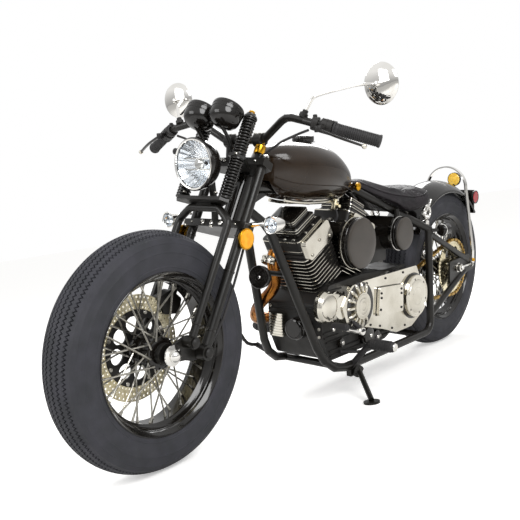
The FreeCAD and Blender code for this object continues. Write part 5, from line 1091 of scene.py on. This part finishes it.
def puffed(piece, shape):
    # the hide swells under air pressure, held at its pan, and no point moves further than the cap
    remesh = piece.modifiers.new("even", "REMESH")
    remesh.mode, remesh.voxel_size = "VOXEL", shape["voxel"]
    applied(piece)
    start = readPoints(piece.data)
    place = fromRow(start)
    held = piece.vertex_groups.new(name="pan")
    onPan = place[:, 2] < alongSlope(shape, place[:, 0]) + shape["panLift"] + shape["panReach"]
    held.add(np.flatnonzero(onPan).tolist(), 1, "REPLACE")
    cloth = piece.modifiers.new("hide", "CLOTH")
    cloth.settings.use_pressure, cloth.settings.uniform_pressure_force = True, shape["pressure"]
    cloth.settings.effector_weights.gravity = 0
    cloth.settings.vertex_group_mass = held.name
    cloth.point_cache.frame_start, cloth.point_cache.frame_end = 1, shape["frames"]
    for step in range(1, shape["frames"] + 1):
        bpy.context.scene.frame_set(step)
    applied(piece)
    bpy.context.scene.frame_set(1)
    moved = readPoints(piece.data) - start
    length = np.linalg.norm(moved, axis=1)[:, None]
    writePoints(piece.data, start + moved * np.minimum(1, shape["cap"] / np.maximum(length, 1e-9)))
    finer = piece.modifiers.new("finer", "SUBSURF")
    finer.levels = finer.render_levels = 1
    applied(piece)


def tufted(piece, shape):
    # sinks the buttons by 7*exp(-(d/10)^2) mm and the creases between neighbours by 2.6*exp(-(d/3.2)^2) mm, on
    # the top only
    place = fromRow(readPoints(piece.data))
    flat = place[:, :2]
    buttons = np.array([(shape["noseX"] - back, side) for back, side in shape["buttons"]], float)
    depth = 7 * np.exp(-(np.linalg.norm(flat[:, None] - buttons, axis=2).min(1) / 10) ** 2)
    crease = np.full(len(flat), 99.0)
    for i, a in enumerate(buttons):
        for b in buttons[i + 1:]:
            if 20 < abs(a[0] - b[0]) < 60 and abs(a[1] - b[1]) < 40:
                along = np.clip((flat - a) @ (b - a) / ((b - a) @ (b - a)), 0, 1)
                crease = np.minimum(crease, np.linalg.norm(flat - a - along[:, None] * (b - a), axis=1))
    depth = np.maximum(depth, 2.6 * np.exp(-(crease / 3.2) ** 2))
    place[:, 2] -= depth * np.clip(readPoints(piece.data, "normal")[:, 2] * 1.6 - 0.4, 0, 1)
    writePoints(piece.data, toRow(place))
    piece.data.update()


def onSkin(points, proud):
    # each point brought to the saddle's nearest surface, then out by proud mm
    found = []
    for point in toRow(points):
        spot, normal = skin.find_nearest(Vector(point))[:2]
        found.append(spot + normal * (proud / 1000))
    return fromRow(found)


seatPoints = seatGrid(seatShape)
saddle = build("sprungSaddle", tube(seatPoints), "grainedLeather", "leather", ["seat"], sharp=180)
puffed(saddle, seatShape)
tufted(saddle, seatShape)
saddle.data.shade_smooth()
skin = BVHTree.FromObject(saddle, bpy.context.evaluated_depsgraph_get())
# the welt follows one line of the sections on each side, at these shares of the way round, and the back's row
columns = seatPoints.shape[1]
leftLine, rightLine = [seatPoints[5:-4, round(columns * share)] for share in (0.085, 0.415)]
backLine = seatPoints[-3, round(columns * 0.1):round(columns * 0.41)]
welt = onSkin(np.concatenate([leftLine, backLine, rightLine[::-1]]), 0.6)
build("saddleWelt", sweep(smoothPath(welt[::3], 260), 2.7, 10), "grainedLeather", "leather", sharp=60)
down = Vector(leanTurn @ [0, 0, -1])
above = toRow([(seatShape["noseX"] - back, side, 800) for back, side in seatShape["buttons"]])
spots, normals = zip(*[skin.ray_cast(Vector(point), down)[:2] for point in above])
buttons = copies(turned(seatShape["buttonForm"], 16), fromRow(spots), np.array(normals) @ leanTurn)
build("saddleButtons", buttons, "grainedLeather", "leather")
print("saddle padded")

# saddle springs: chrome hairpin rings at the back, a gold-headed pivot bolt at the nose
hairpin = {"place": (256, 107, 571), "radius": 24, "turns": 2.45, "start": math.radians(-150), "spread": 10,
           "low": [(258, 108, 526), (246, 107, 540), (238, 106.8, 552)],
           "high": [(242, 117, 598), (236, 117, 608), (230, 117, 617)]}
springs, pivots = [], []
turn = np.linspace(hairpin["start"], hairpin["start"] + math.tau * hairpin["turns"], 90)
ring = hairpin["radius"] * np.stack([np.cos(turn), 0 * turn, np.sin(turn)], 1)
ring += hairpin["place"] + np.linspace(0, hairpin["spread"], 90)[:, None] * left
wire = np.concatenate([hairpin["low"], ring[::3], hairpin["high"]])
for s in (-1, 1):
    springs += [sweep(smoothPath(wire * [1, s, 1], 150), 4.6, 12, left),
                lathe(mirrored([(0, 9), (11, 9), (12, 7)]), (262, s * 112, 530), left, 28)]
    pivots.append(lathe([(0, 0), (13, 0), (14, 2), (14, 8), (9, 12), (0, 13)], (634, s * 50, 692), s * left, 24))
build("hairpinSprings", springs, "brightChrome", "steel", ["seat_springs"])
build("saddlePivotBolts", pivots, "goldAnodised", "steel")
print("saddle springs made")

# horn face, case ribs and oil fittings below the covers, and peg rubbers
cradleTop, cradleFoot = forkPoint(fork["lowerTree"] + 67, -115.5, 44), np.array([935, 122, 117])
hornAt = (cradleTop + (cradleFoot - cradleTop) * 0.311) * [1, 0, 1] + [34, 0, -6]
hornAxis = (0.96, 0.2, 0.1)
face = [lathe([(30, 22), (35, 23), (36, 25), (34.4, 27), (31, 26.4)], hornAt, hornAxis, 48),
        lathe([(0, 25), (30, 24.6), (31, 22), (0, 22)], hornAt, hornAxis, 48)]
face += [lathe([(r, 24), (r + 1.6, 26.2), (r + 3.2, 24)], hornAt, hornAxis, 40) for r in (13, 18, 23, 28)]
build("hornFace", face, "glossBlackEnamel", "engine_paint")
hornBolt = lathe([(5, 24), (5, 28), (3.6, 29.4), (0, 29.6)], hornAt, hornAxis, 24)
build("hornBolt", hornBolt, "brightChrome", "chrome")
caseRibs = [(166, 540, 900), (182, 520, 905), (198, 520, 560), (214, 790, 920), (230, 850, 930), (246, 880, 935),
            (378, 830, 900), (364, 850, 915)]
ribs = [sweep([(x0, 109, z), ((x0 + x1) / 2, 110.5, z), (x1, 109, z)], 3, 8, left) for z, x0, x1 in caseRibs]
build("caseRibs", ribs, "castBlackAlloy", "engine_paint")
fittings = [lathe([(0, 108), (30, 108), (31, 112), (31, 128), (28, 134), (12, 137), (0, 138)], (700, 0, 196), left, 40),
            lathe([(0, 108), (22, 108), (23, 112), (22, 124), (0, 126)], (636, 0, 176), left, 32),
            lathe([(0, 108), (16, 108), (16, 120), (0, 122)], (846, 0, 200), left, 6)]
build("oilFittings", fittings, "glossBlackEnamel", "engine_paint")
tips = [(700, 138, 196), (636, 126, 176), (846, 122, 200), (680, 112, 222), (722, 112, 222), (600, 110, 170),
        (880, 110, 250), (905, 110, 300)]
bolts("oilFittingBolts", tips, 1.1, "brightChrome")
oilLine = smoothPath([(636, 120, 196), (650, 128, 150), (700, 132, 142), (760, 124, 150), (850, 112, 170)], 40)
build("oilLine", sweep(oilLine, 5), "mouldedRubber", "rubber")
peg = {"place": (800, 192, 198), "end": [(0, 97.6), (12, 97.6), (13.6, 98.6), (12, 101), (0, 102)]}
pegRubber = [(17.2, 10)]
for start in np.arange(14, 86, 8):
    pegRubber += [(18.8, start), (18.8, start + 4.6), (17.2, start + 5.6), (17.2, start + 7.4)]
pegRubber += [(17.2, 88), (16.2, 88), (16.2, 10)]
build("pegRubbers", bothSides(lathe(pegRubber, peg["place"], left, 36)), "mouldedRubber", "rubber")
build("pegEnds", bothSides(lathe(peg["end"], peg["place"], left, 32)), "brightChrome", "chrome")
shift = smoothPath([(806, 167, 236), (850, 171, 246), (900, 176, 261), (968, 180, 290)], 20)
levers = [sweep(shift, 6.6, 14, (0, 1, 0.2)), lathe(mirrored([(0, 10), (12, 10), (13, 8)]), (806, 168, 237), left, 28)]
build("shiftLever", levers, "brightChrome", "rubber")
toes = [lathe([(9.2, 14), (11, 15), (11, 50), (9.2, 52)], (968, 172, 290), left, 24),
        lathe([(9.2, -38), (11, -36), (11, -6), (9.2, -4)], (972, -218, 228), left, 24)]
build("toeRubbers", toes, "mouldedRubber", "rubber")
# taller rocker covers over the boxes, and pushrod tubes on the right
lidRows = [(1, 360), (1, 372), (0.5, 373.5), (0.5, 375.5), (1, 377), (1, 381), (0.3, 384.5), (-1, 385.4)]
for cylinder, degrees in engine["angles"].items():
    lid = stack(outlines["lidInner"], outlines["lid"], lidRows, degrees)
    build(cylinder + "RockerLid", lid, "glossBlackEnamel", "engine_paint")
    edges = [edging(outlines["lid"], height, thick, degrees) for height, thick in ((374.4, 0.8), (381, 1))]
    build(cylinder + "LidEdges", edges, "polishedAlloy", "bright_alloy")
    rods = [sweep(onCylinder([(a * 1.3, -90, 70), (a, -90, 160), (a * 0.9, -84, 262)], degrees), 11, 20)
            for a in (-22, 22)]
    rods += [lathe(mirrored([(11, 5), (14, 4)]), onCylinder((a, -90, 160), degrees), cylinderUp[cylinder], 24)
             for a in (-22, 22)]
    build(cylinder + "PushrodTubes", rods, "brightChrome", "chrome")


def prismGrid(outline, centre, rows):
    # rows of (share, rise): the outline at that share of its size, that far above the centre
    share, rise = np.array(rows, float).T[:, :, None, None]
    flat = share * outline
    return centre + np.concatenate([flat, np.broadcast_to(rise, flat.shape[:2] + (1,))], 2)


# carburettor between the heads, and the black box under the drum
carburettor = {"place": np.array([792, 0, 566]), "screws": 19}
body = [lathe([(0, -40), (34, -40), (38, -36), (38, -8), (28, -2), (28, 40), (24, 44), (0, 44)],
              carburettor["place"], left, 40),
        sweep([(715, 0, 574), (752, 0, 570), (792, 0, 566), (834, 0, 570), (872, 0, 574)], [17, 20, 22, 20, 17], 24),
        lathe([(0, 0), (27, 0), (27, 34), (22, 38), (0, 38)], carburettor["place"] - 44 * top, top, 32)]
build("carburettor", body, "castBlackAlloy", "engine_paint")
screws = [carburettor["place"] + [a * carburettor["screws"], 44, b * carburettor["screws"]]
          for a in (-1, 1) for b in (-1, 1)]
bolts("carburettorScrews", screws, 0.8, "brightChrome")
boxRows = [(1, 0), (1, 84), (0.97, 90), (0.94, 92), (0, 92.5)]
box = prismGrid(roundedOutline(74, 58, 12), [528, 0, 416], boxRows)
build("batteryBox", tube(box), "blackPowderCoat", "engine_paint")
# at the case's front: a ribbed bright regulator, a black oil filter, cast ribs and bolts
regulatorRib = [(1, 0), (1, 5), (0.86, 5.6), (0.86, 8.4)]
regulatorRows = [(share, rise + step) for rise in range(0, 72, 9) for share, step in regulatorRib]
regulatorRows = [(0, 0)] + regulatorRows + [(1, 72), (1, 76), (0, 76)]
regulator = prismGrid(roundedOutline(11, 28, 4), [953, -60, 225], regulatorRows)
build("ribbedRegulator", tube(regulator, capped=False), "polishedAlloy", "bright_alloy")
oilFilter = [(0, -4), (30, -4), (33, 0), (36, 2), (36, 4), (35, 6), (36, 8), (36, 40), (33, 45), (28, 47),
             (26, 45.4), (0, 45)]
build("oilFilter", lathe(oilFilter, (940, 28, 262), ahead, 48), "glossBlackEnamel", "engine_paint")
neck = [(0, 100), (49, 100), (51, 103), (51, 114), (47, 118), (45, 124), (40, 128), (38, 133), (0, 134)]
build("coverNeck", lathe(neck, (862, 0, 322)), "polishedAlloy", "bright_alloy")
frontRibs = [sweep([(940, -96, z), (941, 0, z), (940, 96, z)], 3, 8, top) for z in (240, 312, 326)]
build("caseFrontRibs", frontRibs, "castBlackAlloy", "engine_paint")
spots = [(940.5, y, z) for y in (-98, 98) for z in (236, 262, 290, 320)]
bolts("caseFrontBolts", spots, 0.9, axes=ahead)
print("engine details made")

# camera, light and floor
shot = {"lens": 54.19, "place": (2902.82, 1521.78, 866.96), "forward": (-0.75470996, -0.63788408, -0.15335184),
        "right": (-0.64078456, 0.76686313, -0.03627798)}
forward, right = leanTurn @ shot["forward"], leanTurn @ shot["right"]
eye = bpy.data.cameras.new("photoCamera")
eye.lens, eye.sensor_width, eye.clip_end = shot["lens"], 36, 50
camera = bpy.data.objects.new("photoCamera", eye)
bpy.context.scene.collection.objects.link(camera)
pose = np.column_stack([right, np.cross(right, forward), -forward, toRow(shot["place"])])
camera.matrix_world = Matrix(np.vstack([pose, [0, 0, 0, 1]]).tolist())
bpy.context.scene.camera = camera

studio = {"floorColour": "#f4f3f1", "roomLight": 0.62, "floorGlow": 0.42, "lamps": [
    ("keyLamp", (1.6, 3.2, 3), 130, 2.2), ("fillLamp", (3.6, -1.2, 2.2), 50, 2),
    ("backLamp", (-2.6, -1.6, 2.6), 70, 1.6)]}
for lampName, place, power, size in studio["lamps"]:
    light = bpy.data.lights.new(lampName, "AREA")
    light.energy, light.size = power, size
    holder = bpy.data.objects.new(lampName, light)
    holder.location = place
    holder.rotation_euler = (Vector((0, 0, 0.4)) - Vector(place)).to_track_quat("-Z", "Y").to_euler()
    bpy.context.scene.collection.objects.link(holder)

# a white room to the camera, brighter overhead in the bright finishes, dimmer as light
world = bpy.data.worlds.new("paleRoom")
bpy.context.scene.world = world
world.use_nodes = True
sky = world.node_tree
sky.nodes.clear()
ray = addNode(sky, "ShaderNodeLightPath").outputs
direction = addNode(sky, "ShaderNodeTexCoord").outputs["Generated"]
height = addNode(sky, "ShaderNodeSeparateXYZ", {}, {0: direction}).outputs["Z"]
band = addNode(sky, "ShaderNodeMapRange", {"From Min": -0.05, "From Max": 0.45, "To Min": 0.35, "To Max": 1},
               {"Value": height})
seen = addNode(sky, "ShaderNodeMath", {"operation": "MAXIMUM"},
               {0: ray["Is Glossy Ray"], 1: ray["Is Transmission Ray"]})
dim = addNode(sky, "ShaderNodeMix", {"data_type": "FLOAT", "A": studio["roomLight"]},
              {"Factor": seen.outputs[0], "B": band.outputs[0]})
strength = addNode(sky, "ShaderNodeMix", {"data_type": "FLOAT", "B": 1},
                   {"Factor": ray["Is Camera Ray"], "A": dim.outputs[0]})
glow = addNode(sky, "ShaderNodeBackground", {"Color": (1, 1, 1, 1)}, {"Strength": strength.outputs[0]})
addNode(sky, "ShaderNodeOutputWorld", {}, {"Surface": glow.outputs[0]})

paper = bpy.data.materials.new("palePaper")
paper.use_nodes = True
sheet = paper.node_tree
sheet.nodes.clear()
ray = addNode(sheet, "ShaderNodeLightPath").outputs
matt = addNode(sheet, "ShaderNodeBsdfDiffuse", {"Color": colour(studio["floorColour"])})
lift = addNode(sheet, "ShaderNodeEmission", {"Color": (1, 1, 1, 1), "Strength": studio["floorGlow"]})
both = addNode(sheet, "ShaderNodeAddShader", {}, {0: matt.outputs[0], 1: lift.outputs[0]})
choose = addNode(sheet, "ShaderNodeMixShader", {}, {0: ray["Is Camera Ray"], 1: matt.outputs[0], 2: both.outputs[0]})
addNode(sheet, "ShaderNodeOutputMaterial", {}, {"Surface": choose.outputs[0]})
floor = meshFromArrays("floor", [[-30, -30, 0], [30, -30, 0], [30, 30, 0], [-30, 30, 0]], [[0, 1, 2, 3]])
floor.data.materials.append(paper)

bpy.context.scene.view_settings.view_transform = "Standard"
print("camera, light and floor ready")
